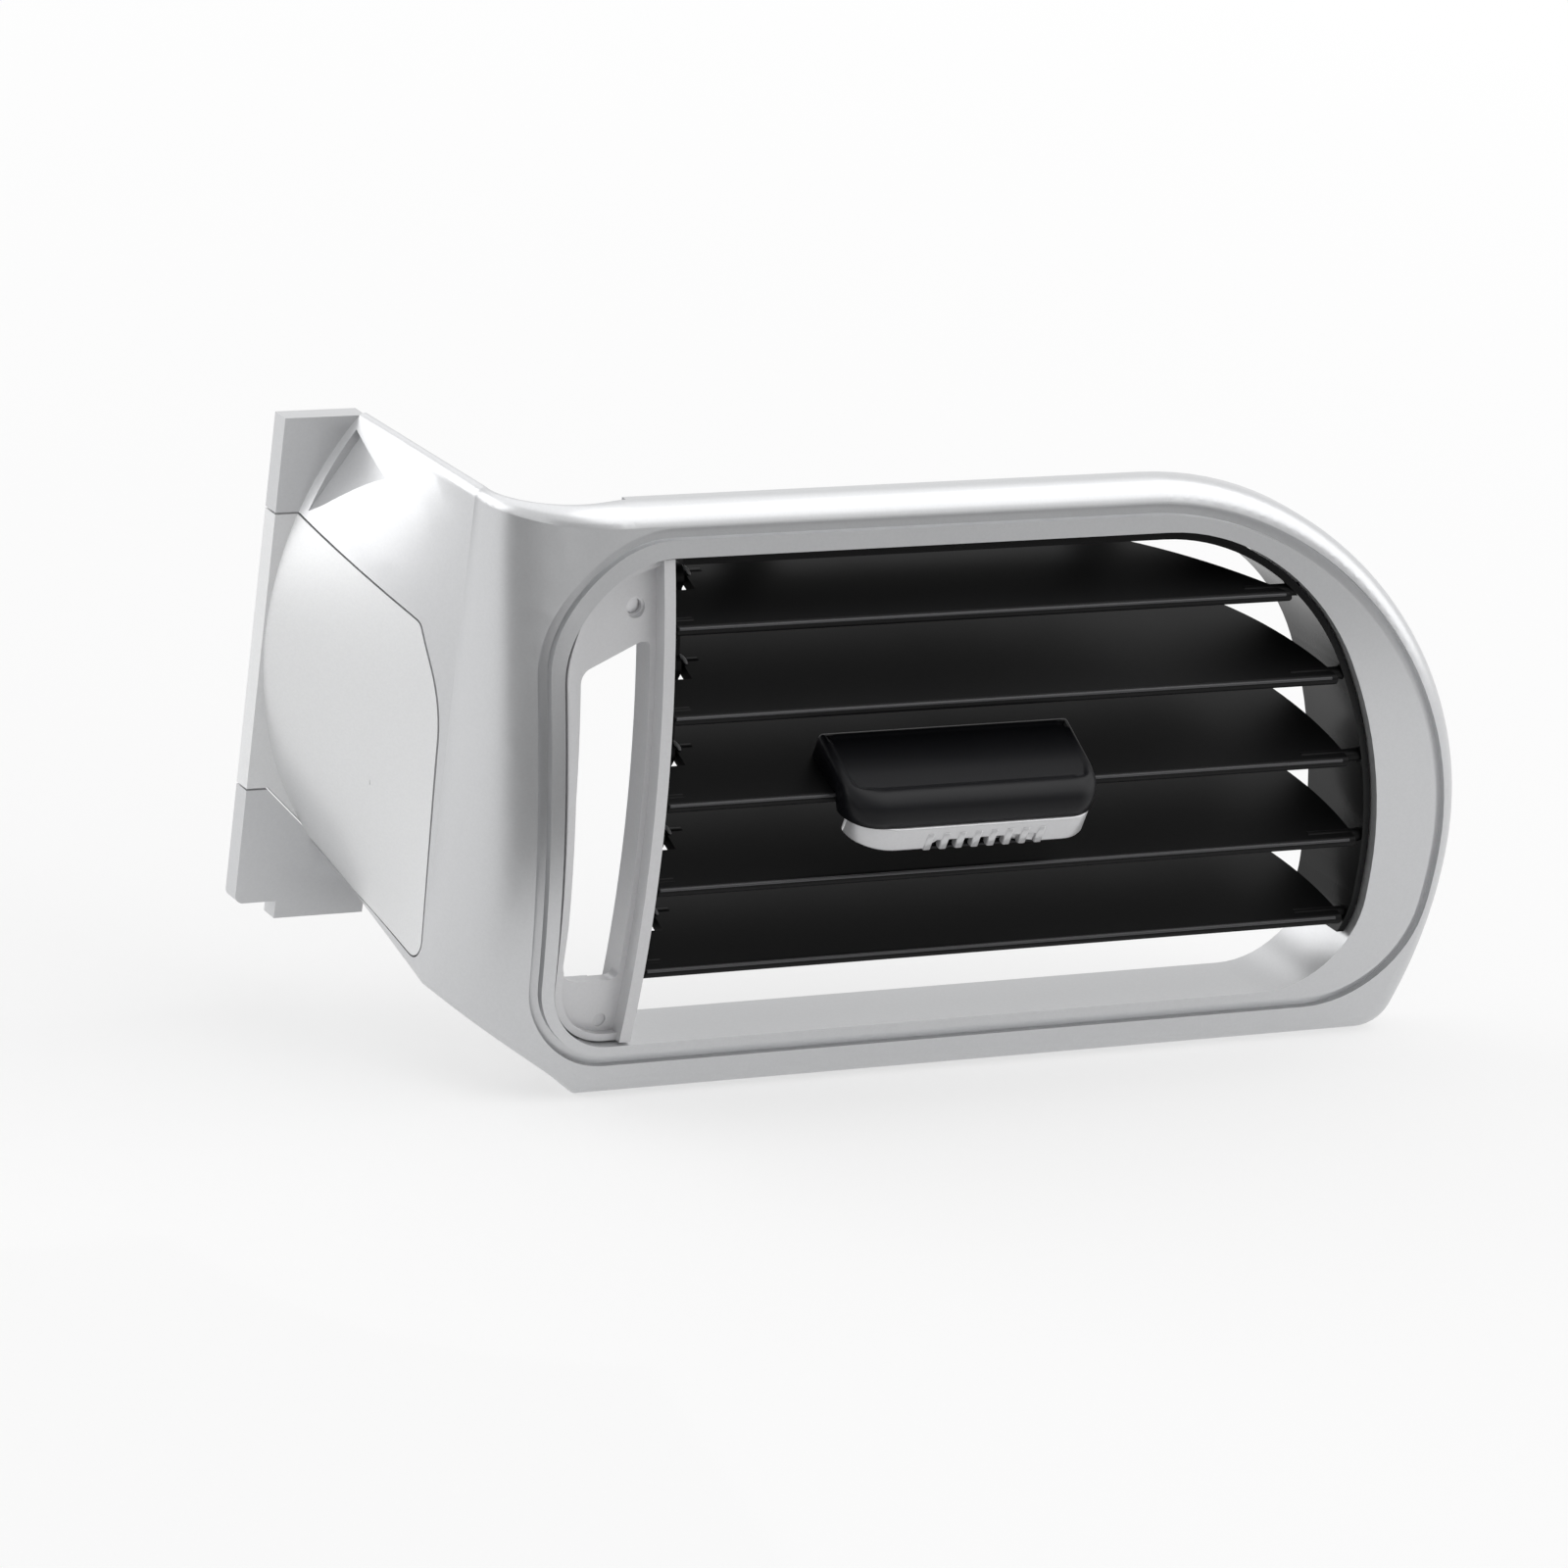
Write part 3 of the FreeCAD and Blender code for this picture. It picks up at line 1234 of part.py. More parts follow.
def slatPin(body, name, back, radius, start, end):
    """Round pin along the louvre, from start to end in X."""
    sketch = body.newObject("Sketcher::SketchObject", name + "Sketch")
    sketch.AttachmentSupport = (originPlane(body, "YZ_Plane"), [""])
    sketch.MapMode = "FlatFace"
    sketch.AttachmentOffset = Placement(Vector(0, 0, start), Rotation())
    spot = S["pivotBack"] + (S["crankArm"] if "crank" in back else 0.0)
    sketch.addGeometry(Part.Circle(Vector(spot, 0, 0), Vector(0, 0, 1), S["pivotRadius"]), False)
    number = sketch.addConstraint(Sketcher.Constraint("DistanceX", -1, 1, 0, 3, spot))
    sketch.setExpression("Constraints[%d]" % number, back)
    sketch.addConstraint(Sketcher.Constraint("PointOnObject", 0, 3, -1))
    number = sketch.addConstraint(Sketcher.Constraint("Radius", 0, S["pivotRadius"]))
    sketch.setExpression("Constraints[%d]" % number, radius)
    pad = body.newObject("PartDesign::Pad", name)
    pad.Profile = sketch
    pad.Length = end - start
    doc.recompute()
    return pad


# ---- document objects

nodes = []
fixingCentre = Vector(S["fixingX"], S["flangeY"] + S["flangeDepth"], S["fixingLowZ"] + 0.5 * S["fixingSpan"])
rowShift = Placement(fixingCentre.multiply(-1), Rotation())


def addShape(label, shape, placement=None):
    feature = doc.addObject("Part::Feature", label)
    feature.Label = label
    feature.Shape = shape
    local = placement if placement is not None else shape.Placement
    feature.Placement = rowShift.multiply(local)
    nodes.append(feature)
    return feature


addShape("bezel", makeBezel())
addShape("side_cover", makeCover())
addShape("left_bracket", makeBracket())
addShape("right_carrier", makeCarrier())
for slatNumber in SLATS:
    nodes.append(makeSlat(slatNumber))
addShape("link_bar", makeLinkBar())
knobPlace = slatPlacement(3)
addShape("knob_upper", makeKnobUpper(), knobPlace)
addShape("knob_grip", makeKnobGrip(), knobPlace)
addShape("knob_lower", makeKnobLower(), knobPlace)
addShape("knob_pad", padBox(0.0), knobPlace)
addShape("bracket_screws", screwSet(screwPlaces(), S["tunnelDepth"]))
addShape("carrier_screws", screwSet(earPlaces(), S["carrierDepth"]))
addShape("cover_clips", makeCoverClips())
addShape("mounting_clips", makeMountingClips())

doc.recompute()

for item in doc.Objects:
    if "Invalid" in item.State or "Error" in item.State:
        raise RuntimeError("failed object: %s %s" % (item.Label, item.State))
os.makedirs("parts", exist_ok=True)
for node in nodes:
    shape = node.Shape
    if shape.isNull() or not shape.isValid():
        raise RuntimeError("bad shape: " + node.Label)
    print("%-16s solids %d faces %3d volume %9.1f" % (node.Label, len(shape.Solids), len(shape.Faces),
                                                      shape.Volume))
    shape.exportStep("parts/%s.step" % node.Label)
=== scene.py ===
import bpy
import bmesh
import math
from mathutils import Matrix, Vector


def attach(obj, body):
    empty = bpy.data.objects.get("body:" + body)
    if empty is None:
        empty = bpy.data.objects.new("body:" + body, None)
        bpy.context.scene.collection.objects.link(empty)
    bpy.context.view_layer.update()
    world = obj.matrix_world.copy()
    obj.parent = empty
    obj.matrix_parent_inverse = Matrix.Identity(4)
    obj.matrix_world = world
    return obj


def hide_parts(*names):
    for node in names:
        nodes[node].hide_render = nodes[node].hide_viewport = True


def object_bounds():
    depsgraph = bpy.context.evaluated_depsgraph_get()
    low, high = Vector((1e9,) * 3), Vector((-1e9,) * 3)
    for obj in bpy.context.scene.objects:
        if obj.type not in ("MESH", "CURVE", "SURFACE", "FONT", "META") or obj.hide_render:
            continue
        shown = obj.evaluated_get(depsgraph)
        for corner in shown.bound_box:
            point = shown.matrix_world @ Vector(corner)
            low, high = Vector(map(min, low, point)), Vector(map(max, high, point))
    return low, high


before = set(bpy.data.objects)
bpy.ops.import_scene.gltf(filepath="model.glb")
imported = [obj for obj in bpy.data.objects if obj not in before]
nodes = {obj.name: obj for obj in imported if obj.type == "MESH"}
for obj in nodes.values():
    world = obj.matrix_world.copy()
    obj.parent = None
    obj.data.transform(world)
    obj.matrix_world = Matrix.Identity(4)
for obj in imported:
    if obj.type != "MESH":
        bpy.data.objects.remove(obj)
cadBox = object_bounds()
scene = bpy.context.scene
print("frame loaded:", len(nodes), "nodes")

# from the drawing's corner to the frame's origin, at the fixing holes
drawingShift = Vector((0.027, -0.0545, -0.055))
millimetre = 0.001


def place(x, y, z):  # a point of the drawing, in millimetres, becomes frame metres
    return Vector((x, y, z)) * millimetre + drawingShift


def newObject(name, data):
    made = bpy.data.objects.new(name, data)
    scene.collection.objects.link(made)
    return made


cameraView = {
    "eye": (-0.59924, -1.1247, 0.42153),
    "right": (0.87051, -0.477827, 0.117875),
    "up": (0.058838, 0.338834, 0.939005),
    "lens": 201.87, "sensor": 36.0,
    "nearest": 0.05, "farthest": 20.0,
}


def makeCamera():
    data = bpy.data.cameras.new("photoCamera")
    data.sensor_fit = "HORIZONTAL"
    data.sensor_width = cameraView["sensor"]
    data.lens = cameraView["lens"]
    data.clip_start = cameraView["nearest"]
    data.clip_end = cameraView["farthest"]
    camera = newObject("photoCamera", data)
    right = Vector(cameraView["right"]).normalized()
    up = Vector(cameraView["up"]).normalized()
    back = right.cross(up).normalized()
    up = back.cross(right).normalized()
    turn = Matrix((right, up, back)).transposed().to_4x4()
    camera.matrix_world = Matrix.Translation(Vector(cameraView["eye"])) @ turn
    scene.camera = camera


makeCamera()
print("camera set")


def addNode(tree, kind, **settings):  # each setting is an input of the node, or else a property
    node = tree.nodes.new(kind)
    for name, value in settings.items():
        if name in node.inputs:
            node.inputs[name].default_value = value
        else:
            setattr(node, name, value)
    return node


def join(tree, source, output, target, entry):
    tree.links.new(source.outputs[output], target.inputs[entry])


# a math node's result; each entry is another node's output or a plain number
def compute(tree, operation, *entries):
    node = addNode(tree, "ShaderNodeMath", operation=operation)
    for socket, entry in zip(node.inputs, entries):
        if isinstance(entry, bpy.types.NodeSocket):
            tree.links.new(entry, socket)
        else:
            socket.default_value = entry
    return node.outputs["Value"]


# a shader group that gives color, roughness and height
def newGroup(name, inputs):
    group = bpy.data.node_groups.new(name, "ShaderNodeTree")
    for label, kind, value in inputs:
        socket = group.interface.new_socket(name=label, in_out="INPUT", socket_type=kind)
        socket.default_value = value
    for label, kind in (("Color", "NodeSocketColor"), ("Roughness", "NodeSocketFloat"),
                        ("Height", "NodeSocketFloat")):
        group.interface.new_socket(name=label, in_out="OUTPUT", socket_type=kind)
    start = group.nodes.new("NodeGroupInput")
    end = group.nodes.new("NodeGroupOutput")
    return group, start, end


def addNoise(tree, spot, **settings):
    noise = addNode(tree, "ShaderNodeTexNoise", **settings)
    join(tree, spot, "Object", noise, "Vector")
    return noise


# the group's color, brightened or darkened by a gain
def tintColor(group, start, gain, end):
    tint = addNode(group, "ShaderNodeVectorMath", operation="SCALE")
    join(group, start, "Color", tint, 0)
    group.links.new(gain, tint.inputs["Scale"])
    join(group, tint, "Vector", end, "Color")


paintFlake = {
    "driftScale": 14.0, "driftDetail": 3.0, "driftLow": -0.02,
    "peelScale": 900.0, "peelDetail": 2.0,
    "roughnessSpread": 0.05,
}


# fine metallic flake over a slow drift of tone, for the painted mouldings
def makePaintGroup():
    group, start, end = newGroup("paintFlake", [
        ("Color", "NodeSocketColor", (0.6, 0.6, 0.6, 1.0)),
        ("Flake Scale", "NodeSocketFloat", 3200.0),
        ("Flake Contrast", "NodeSocketFloat", 0.03),
        ("Drift", "NodeSocketFloat", 0.04),
        ("Roughness", "NodeSocketFloat", 0.36),
    ])
    entries = start.outputs
    spot = addNode(group, "ShaderNodeTexCoord")
    flake = addNode(group, "ShaderNodeTexVoronoi", feature="F1")
    join(group, spot, "Object", flake, "Vector")
    join(group, start, "Flake Scale", flake, "Scale")
    split = addNode(group, "ShaderNodeSeparateColor")
    join(group, flake, "Color", split, "Color")
    drift = addNoise(group, spot, Scale=paintFlake["driftScale"], Detail=paintFlake["driftDetail"])
    flakeGain = compute(group, "MULTIPLY_ADD", split.outputs["Red"], entries["Flake Contrast"], 1.0)
    driftGain = compute(group, "MULTIPLY_ADD", drift.outputs["Fac"], entries["Drift"],
                        paintFlake["driftLow"])
    tintColor(group, start, compute(group, "ADD", flakeGain, driftGain), end)
    rough = compute(group, "MULTIPLY_ADD", drift.outputs["Fac"], paintFlake["roughnessSpread"],
                    entries["Roughness"])
    group.links.new(rough, end.inputs["Roughness"])
    peel = addNoise(group, spot, Scale=paintFlake["peelScale"], Detail=paintFlake["peelDetail"])
    join(group, peel, "Fac", end, "Height")
    return group


mouldGrain = {
    "grainDetail": 4.0, "grainRoughness": 0.65,
    "wideScale": 60.0, "wideDetail": 2.0,
    "toneLow": 0.85,
}


# fine spark-eroded grain of the bare black mouldings
def makeGrainGroup():
    group, start, end = newGroup("mouldGrain", [
        ("Color", "NodeSocketColor", (0.01, 0.01, 0.01, 1.0)),
        ("Grain Scale", "NodeSocketFloat", 1400.0),
        ("Roughness", "NodeSocketFloat", 0.4),
        ("Roughness Spread", "NodeSocketFloat", 0.1),
        ("Color Spread", "NodeSocketFloat", 0.3),
    ])
    entries = start.outputs
    spot = addNode(group, "ShaderNodeTexCoord")
    grain = addNoise(group, spot, Detail=mouldGrain["grainDetail"],
                     Roughness=mouldGrain["grainRoughness"])
    join(group, start, "Grain Scale", grain, "Scale")
    wide = addNoise(group, spot, Scale=mouldGrain["wideScale"], Detail=mouldGrain["wideDetail"])
    rough = compute(group, "MULTIPLY_ADD", wide.outputs["Fac"], entries["Roughness Spread"],
                    entries["Roughness"])
    group.links.new(rough, end.inputs["Roughness"])
    tone = compute(group, "MULTIPLY_ADD", grain.outputs["Fac"], entries["Color Spread"],
                   mouldGrain["toneLow"])
    tintColor(group, start, tone, end)
    join(group, grain, "Fac", end, "Height")
    return group


paintGroup = makePaintGroup()
grainGroup = makeGrainGroup()


# a material from one shared group: its values, its bump and the plain shader settings
def makeFinish(name, group, values, bump, relief, settings):
    material = bpy.data.materials.new(name)
    material.use_nodes = True
    tree = material.node_tree
    tree.nodes.clear()
    end = addNode(tree, "ShaderNodeOutputMaterial")
    shader = addNode(tree, "ShaderNodeBsdfPrincipled", **settings)
    join(tree, shader, "BSDF", end, "Surface")
    pattern = tree.nodes.new("ShaderNodeGroup")
    pattern.node_tree = group
    for label, value in values.items():
        pattern.inputs[label].default_value = value
    join(tree, pattern, "Color", shader, "Base Color")
    join(tree, pattern, "Roughness", shader, "Roughness")
    raised = addNode(tree, "ShaderNodeBump", Strength=bump, Distance=relief)
    join(tree, pattern, "Height", raised, "Height")
    join(tree, raised, "Normal", shader, "Normal")
    return material


finishTable = {
    # name: group, its values, bump strength, relief in metres, plain shader settings
    "satinSilver": (paintGroup, {"Color": (0.60, 0.605, 0.615, 1), "Roughness": 0.27},
                    0.1, 0.000002, {"Metallic": 0.62, "Specular IOR Level": 0.4}),
    "coverSilver": (paintGroup, {"Color": (0.745, 0.75, 0.755, 1), "Roughness": 0.34},
                    0.1, 0.000002, {"Metallic": 0.45, "Specular IOR Level": 0.4}),
    "bracketGrey": (paintGroup, {"Color": (0.64, 0.64, 0.65, 1), "Roughness": 0.4},
                    0.1, 0.000004, {"Metallic": 0.35, "Specular IOR Level": 0.4}),
    "gripSilver": (paintGroup, {"Color": (0.60, 0.60, 0.61, 1), "Roughness": 0.34},
                   0.1, 0.000003, {"Metallic": 0.5}),
    "clipGrey": (grainGroup, {"Color": (0.22, 0.22, 0.225, 1), "Roughness": 0.3},
                 0.1, 0.00008, {}),
    "louvreBlack": (grainGroup, {"Color": (0.0028, 0.0028, 0.003, 1), "Roughness": 0.42},
                    0.12, 0.00008, {"Specular IOR Level": 0.13}),
    # lighter and glossier than louvreBlack: the painted highlight along the louvres' front lips
    "louvreHighlight": (grainGroup, {"Color": (0.042, 0.042, 0.045, 1), "Roughness": 0.3},
                   0.05, 0.00004, {"Specular IOR Level": 0.45}),
    "carrierBlack": (grainGroup, {"Color": (0.003, 0.003, 0.0032, 1), "Roughness": 0.22,
                                  "Grain Scale": 500.0},
                     0.1, 0.0001, {"Specular IOR Level": 0.2}),
    "knobBlack": (grainGroup, {"Color": (0.0036, 0.0037, 0.005, 1), "Roughness": 0.34},
                  0.15, 0.00008, {"Specular IOR Level": 0.2}),
    "padRubber": (grainGroup, {"Color": (0.02, 0.02, 0.02, 1), "Roughness": 0.75},
                  0.2, 0.0001, {}),
    "zincSteel": (paintGroup, {"Color": (0.56, 0.56, 0.57, 1), "Roughness": 0.28},
                  0.1, 0.0001, {"Metallic": 1.0}),
    "springSteel": (paintGroup, {"Color": (0.30, 0.30, 0.32, 1), "Roughness": 0.33},
                    0.1, 0.0001, {"Metallic": 1.0}),
}
finishes = {name: makeFinish(name, *row) for name, row in finishTable.items()}

# the nodes of each finish; the knob's three shells are left out, as pieces below stand for them
finishNodes = {
    "satinSilver": ["bezel"],
    "coverSilver": ["side_cover"],
    "bracketGrey": ["left_bracket"],
    "carrierBlack": ["right_carrier"],
    "louvreBlack": ["slat_1", "slat_2", "slat_3", "slat_4", "slat_5", "link_bar"],
    "padRubber": ["knob_pad"],
    "zincSteel": ["bracket_screws", "carrier_screws"],
    "springSteel": ["cover_clips", "mounting_clips"],
}
for finishName, nodeNames in finishNodes.items():
    for nodeName in nodeNames:
        node = nodes[nodeName]
        if not node.material_slots:
            node.data.materials.append(finishes[finishName])
        for slot in node.material_slots:
            slot.link = "OBJECT"
            slot.material = finishes[finishName]
print("finishes set")


# the cover's own mesh, with the corner of a hidden tongue that breaks its skin closed over
coverSkin = {
    "tip": (-34.94, 33.0), "skinFront": (-34.47, 33.0), "skinRear": (-34.94, 33.85),
    "low": 59.2, "high": 60.8,
    "reach": 0.1,  # the mesh's own points have to be as near as this
    "strayCount": 6,
    "weld": 0.0000005,
    "facing": 0.5,  # a normal that leans past this to -X, and less than this to Z, is the skin's
}


# a mesh with its doubled points merged, and its corner normals kept with it
def mergedShape(source):
    shape = bmesh.new()
    shape.from_mesh(source)
    kept = shape.loops.layers.float_vector.new("keptNormal")
    loops = [loop for face in shape.faces for loop in face.loops]
    for loop, normal in zip(loops, source.corner_normals):
        loop[kept] = normal.vector
    bmesh.ops.remove_doubles(shape, verts=shape.verts, dist=coverSkin["weld"])
    return shape, kept


def makeCoverSkin():
    shape, kept = mergedShape(nodes["side_cover"].data)

    def near(spot, height):
        goal = place(*coverSkin[spot], coverSkin[height])
        found = min(shape.verts, key=lambda vert: (vert.co - goal).length)
        return found if (found.co - goal).length < millimetre * coverSkin["reach"] else None

    rim = [near("skinFront", "low"), near("skinRear", "low"),
           near("skinRear", "high"), near("skinFront", "high")]
    corners = {near("tip", "low"), near("tip", "high"), *rim}
    stray = [face for face in shape.faces if set(face.verts) <= corners]
    if None in corners or len(stray) != coverSkin["strayCount"]:
        shape.free()
        print("cover left as it is")
        return

    # the patch takes the mean direction of the skin round it
    outward = Vector()
    for face in shape.faces:
        if face in stray:
            continue
        for loop in face.loops:
            normal = loop[kept]
            facing = normal.x < -coverSkin["facing"] and abs(normal.z) < coverSkin["facing"]
            if loop.vert in corners and facing:
                outward += normal
    outward.normalize()
    bmesh.ops.delete(shape, geom=stray, context="FACES")
    patch = shape.faces.new(rim)
    patch.smooth = True
    patch.normal_update()
    if patch.normal.dot(outward) < 0.0:
        patch.normal_flip()
    for loop in patch.loops:
        loop[kept] = outward

    mesh = bpy.data.meshes.new("coverSkin")
    shape.to_mesh(mesh)
    openEdges = sum(1 for edge in shape.edges if len(edge.link_faces) != 2)
    shape.free()
    mesh.normals_split_custom_set(
        [tuple(value.vector) for value in mesh.attributes["keptNormal"].data])
    mesh.attributes.remove(mesh.attributes["keptNormal"])
    mesh.materials.append(finishes["coverSilver"])
    piece = newObject("coverSkin", mesh)
    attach(piece, "housing")
    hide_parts("side_cover")
    print("cover skin: one corner closed over,", openEdges, "open edges")


louvre = {
    "count": 5, "middle": 3,
    "pitch": 13.4, "lowZ": 19.6, "setback": 0.9, "tilt": 20.0,
    "faceRadius": 167.0, "faceMidZ": 38.2,
    "crankBack": 13.5,
}


def louvrePoint(number, x, back, rise):  # a point in one louvre's own tilted frame
    z = louvre["lowZ"] + (louvre["count"] - number) * louvre["pitch"]
    reach = louvre["faceRadius"]
    y = reach - math.sqrt(reach ** 2 - (z - louvre["faceMidZ"]) ** 2) + louvre["setback"]
    turn = math.radians(louvre["tilt"])
    return place(x, y + back * math.cos(turn) - rise * math.sin(turn),
                 z + back * math.sin(turn) + rise * math.cos(turn))


# plan of a bar with two elliptical front corners, as points with outward directions
def roundedPlan(bar):
    left, right, front, back = bar["left"], bar["right"], bar["front"], bar["back"]
    leftX, leftY = bar["leftRound"]
    rightX, rightY = bar["rightRound"]
    rear = bar["rearRound"]
    plan = []

    def arc(middleX, middleY, radiusX, radiusY, start):
        for step in range(bar["cornerSteps"] + 1):
            angle = math.radians(start + 90.0 * step / bar["cornerSteps"])
            x, y = math.cos(angle), math.sin(angle)
            out = Vector((x / radiusX, y / radiusY)).normalized()
            plan.append((middleX + radiusX * x, middleY + radiusY * y, out.x, out.y))

    def run(x0, y0, x1, y1, outX, outY):
        count = max(1, round(math.hypot(x1 - x0, y1 - y0) / bar["spacing"]))
        for step in range(1, count):
            share = step / count
            plan.append((x0 + (x1 - x0) * share, y0 + (y1 - y0) * share, outX, outY))

    arc(left + leftX, front + leftY, leftX, leftY, 180.0)
    run(left + leftX, front, right - rightX, front, 0.0, -1.0)
    arc(right - rightX, front + rightY, rightX, rightY, 270.0)
    run(right, front + rightY, right, back - rear, 1.0, 0.0)
    arc(right - rear, back - rear, rear, rear, 0.0)
    run(right - rear, back, left + rear, back, 0.0, 1.0)
    arc(left + rear, back - rear, rear, rear, 90.0)
    run(left, back - rear, left, front + leftY, -1.0, 0.0)
    return plan


def planRing(plan, inset, height):  # the plan drawn in by the inset, at a height over each point
    return [(x - outX * inset, y - outY * inset, height(x, y)) for x, y, outX, outY in plan]


# closed body from rings of (x, back, rise) in the middle louvre's frame
def ringBody(name, rings):
    shape = bmesh.new()
    rows = [[shape.verts.new(louvrePoint(louvre["middle"], *spot)) for spot in ring]
            for ring in rings]
    count = len(rows[0])
    for low, high in zip(rows, rows[1:]):
        for this in range(count):
            after = (this + 1) % count
            face = shape.faces.new((low[this], low[after], high[after], high[this]))
            face.smooth = True
    shape.faces.new(list(reversed(rows[0])))
    shape.faces.new(rows[-1])
    bmesh.ops.recalc_face_normals(shape, faces=shape.faces)
    mesh = bpy.data.meshes.new(name)
    shape.to_mesh(mesh)
    shape.free()
    return newObject(name, mesh)


knobCap = {
    "left": 28.8, "right": 72.9, "front": -6.4, "back": 9.6,
    "leftRound": (6.0, 5.0), "rightRound": (4.6, 4.2), "rearRound": 0.8,
    "cornerSteps": 12, "spacing": 2.0,
    "skirt": -0.95, "skirtBack": -0.3,  # the front hangs lower, as far back as this
    "floor": 1.05, "floorLift": 0.1, "wall": 0.8, "shoulder": 0.3,
    "top": 3.4, "rise": 0.125,
    # the rounding over the top's edge, along the sides and along the softer front
    "reach": (0.9, 3.4), "drop": (0.8, 3.0), "softReach": 6.5, "roundSteps": 8,
    "dish": 0.22, "dishRings": ((0.35, 0.55), (0.8, 1.0)),
}


def easeFront(y):  # 1 at the knob's front, falling to 0 over the soft reach
    share = min(max((y - knobCap["front"]) / knobCap["softReach"], 0.0), 1.0)
    return 1.0 - share * share * (3.0 - 2.0 * share)


def between(pair, share):
    return pair[0] + (pair[1] - pair[0]) * share


def makeKnobCap():
    plan = roundedPlan(knobCap)

    # the inset is found from the rounding's reach, the height from y and the rounding's drop
    def ring(inset, height):
        spots = []
        for x, y, outX, outY in plan:
            soft = easeFront(y)
            depth = inset(between(knobCap["reach"], soft))
            drop = between(knobCap["drop"], soft)
            spots.append((x - outX * depth, y - outY * depth, height(y - outY * depth, drop)))
        return spots

    def top(y):
        return knobCap["top"] + knobCap["rise"] * (y - knobCap["front"])

    def skirt(y, drop):
        return knobCap["skirt"] if y < knobCap["skirtBack"] else knobCap["floor"]

    def wall(reach):
        return knobCap["wall"]

    def flush(reach):
        return 0.0

    rings = [
        ring(wall, lambda y, drop: knobCap["floor"] + knobCap["floorLift"]),
        ring(wall, skirt),
        ring(flush, skirt),
        ring(flush, lambda y, drop: top(y) - drop - knobCap["shoulder"]),
    ]
    for step in range(knobCap["roundSteps"] + 1):
        angle = math.radians(90.0 * step / knobCap["roundSteps"])
        rings.append(ring(lambda reach, a=angle: reach * (1.0 - math.cos(a)),
                          lambda y, drop, a=angle: top(y) - drop * (1.0 - math.sin(a))))
    for more, share in knobCap["dishRings"]:
        rings.append(ring(lambda reach, m=more: reach + m,
                          lambda y, drop, s=share: top(y) - knobCap["dish"] * s))
    piece = ringBody("knobCap", rings)
    piece.data.materials.append(finishes["knobBlack"])
    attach(piece, "knob")
    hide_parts("knob_upper")


gripBand = {
    "left": 31.0, "right": 72.7, "front": -6.9, "back": -0.5,
    "leftRound": (7.0, 5.6), "rightRound": (5.4, 4.8), "rearRound": 0.8,
    "cornerSteps": 14, "spacing": 0.7,
    "top": -1.0, "bottom": -5.2, "edge": 0.35, "bevel": 0.3,
    "ribCount": 8, "ribPitch": 2.8, "ribMiddle": 53.0,
    "ribWidth": 1.4, "ribHeight": 3.0, "ribDepth": 1.4, "ribRound": 0.35, "ribProud": 0.15,
    "cutDepth": 1.5, "cutBack": -3.0,  # the lower edge is cut away between the ribs
}
ribReach = 0.5 * gripBand["ribPitch"] * (gripBand["ribCount"] - 1)
firstRib = gripBand["ribMiddle"] - ribReach
lastRib = gripBand["ribMiddle"] + ribReach


def makeGripBand():
    plan = roundedPlan(gripBand)
    top, edge = gripBand["top"], gripBand["edge"]
    bevel = gripBand["bevel"] * edge

    def foot(x, y):
        cut = firstRib < x < lastRib and y < gripBand["cutBack"]
        return gripBand["bottom"] + (gripBand["cutDepth"] if cut else 0.0)

    return ringBody("gripBand", [
        planRing(plan, edge, foot),
        planRing(plan, bevel, lambda x, y: foot(x, y) + bevel),
        planRing(plan, 0.0, lambda x, y: foot(x, y) + edge),
        planRing(plan, 0.0, lambda x, y: top - edge),
        planRing(plan, bevel, lambda x, y: top - bevel),
        planRing(plan, edge, lambda x, y: top),
    ])


# a node tree with named inputs, run once on a base mesh to give a plain mesh
def runTree(name, tree, values, points):
    base = bpy.data.meshes.new(name + "Points")
    base.from_pydata([tuple(point) for point in points], [], [])
    holder = newObject(name + "Holder", base)
    modifier = holder.modifiers.new("tree", "NODES")
    modifier.node_group = tree
    for item in tree.interface.items_tree:
        if item.item_type == "SOCKET" and item.in_out == "INPUT" and item.name in values:
            modifier[item.identifier] = values[item.name]
    bpy.context.view_layer.update()
    seen = holder.evaluated_get(bpy.context.evaluated_depsgraph_get())
    mesh = bpy.data.meshes.new_from_object(seen)
    mesh.name = name
    holder.modifiers.remove(modifier)
    bpy.data.objects.remove(holder)
    bpy.data.meshes.remove(base)
    return newObject(name, mesh)


def newTree(name, inputs):
    tree = bpy.data.node_groups.new(name, "GeometryNodeTree")
    tree.interface.new_socket(name="Geometry", in_out="INPUT", socket_type="NodeSocketGeometry")
    for label, kind, value in inputs:
        socket = tree.interface.new_socket(name=label, in_out="INPUT", socket_type=kind)
        if value is not None:
            socket.default_value = value
    tree.interface.new_socket(name="Geometry", in_out="OUTPUT", socket_type="NodeSocketGeometry")
    return tree, tree.nodes.new("NodeGroupInput"), tree.nodes.new("NodeGroupOutput")


# one part of the tree placed on every point, then made real and given its finish
def finishTree(tree, start, end, part, output):
    points = addNode(tree, "GeometryNodeMeshToPoints")
    spread = addNode(tree, "GeometryNodeInstanceOnPoints")
    real = addNode(tree, "GeometryNodeRealizeInstances")
    smooth = addNode(tree, "GeometryNodeSetShadeSmooth")
    paint = addNode(tree, "GeometryNodeSetMaterial")
    join(tree, start, "Geometry", points, "Mesh")
    join(tree, points, "Points", spread, "Points")
    join(tree, part, output, spread, "Instance")
    join(tree, spread, "Instances", real, "Geometry")
    join(tree, real, "Geometry", smooth, "Geometry")
    join(tree, smooth, "Geometry", paint, "Geometry")
    join(tree, start, "Material", paint, "Material")
    join(tree, paint, "Geometry", end, "Geometry")


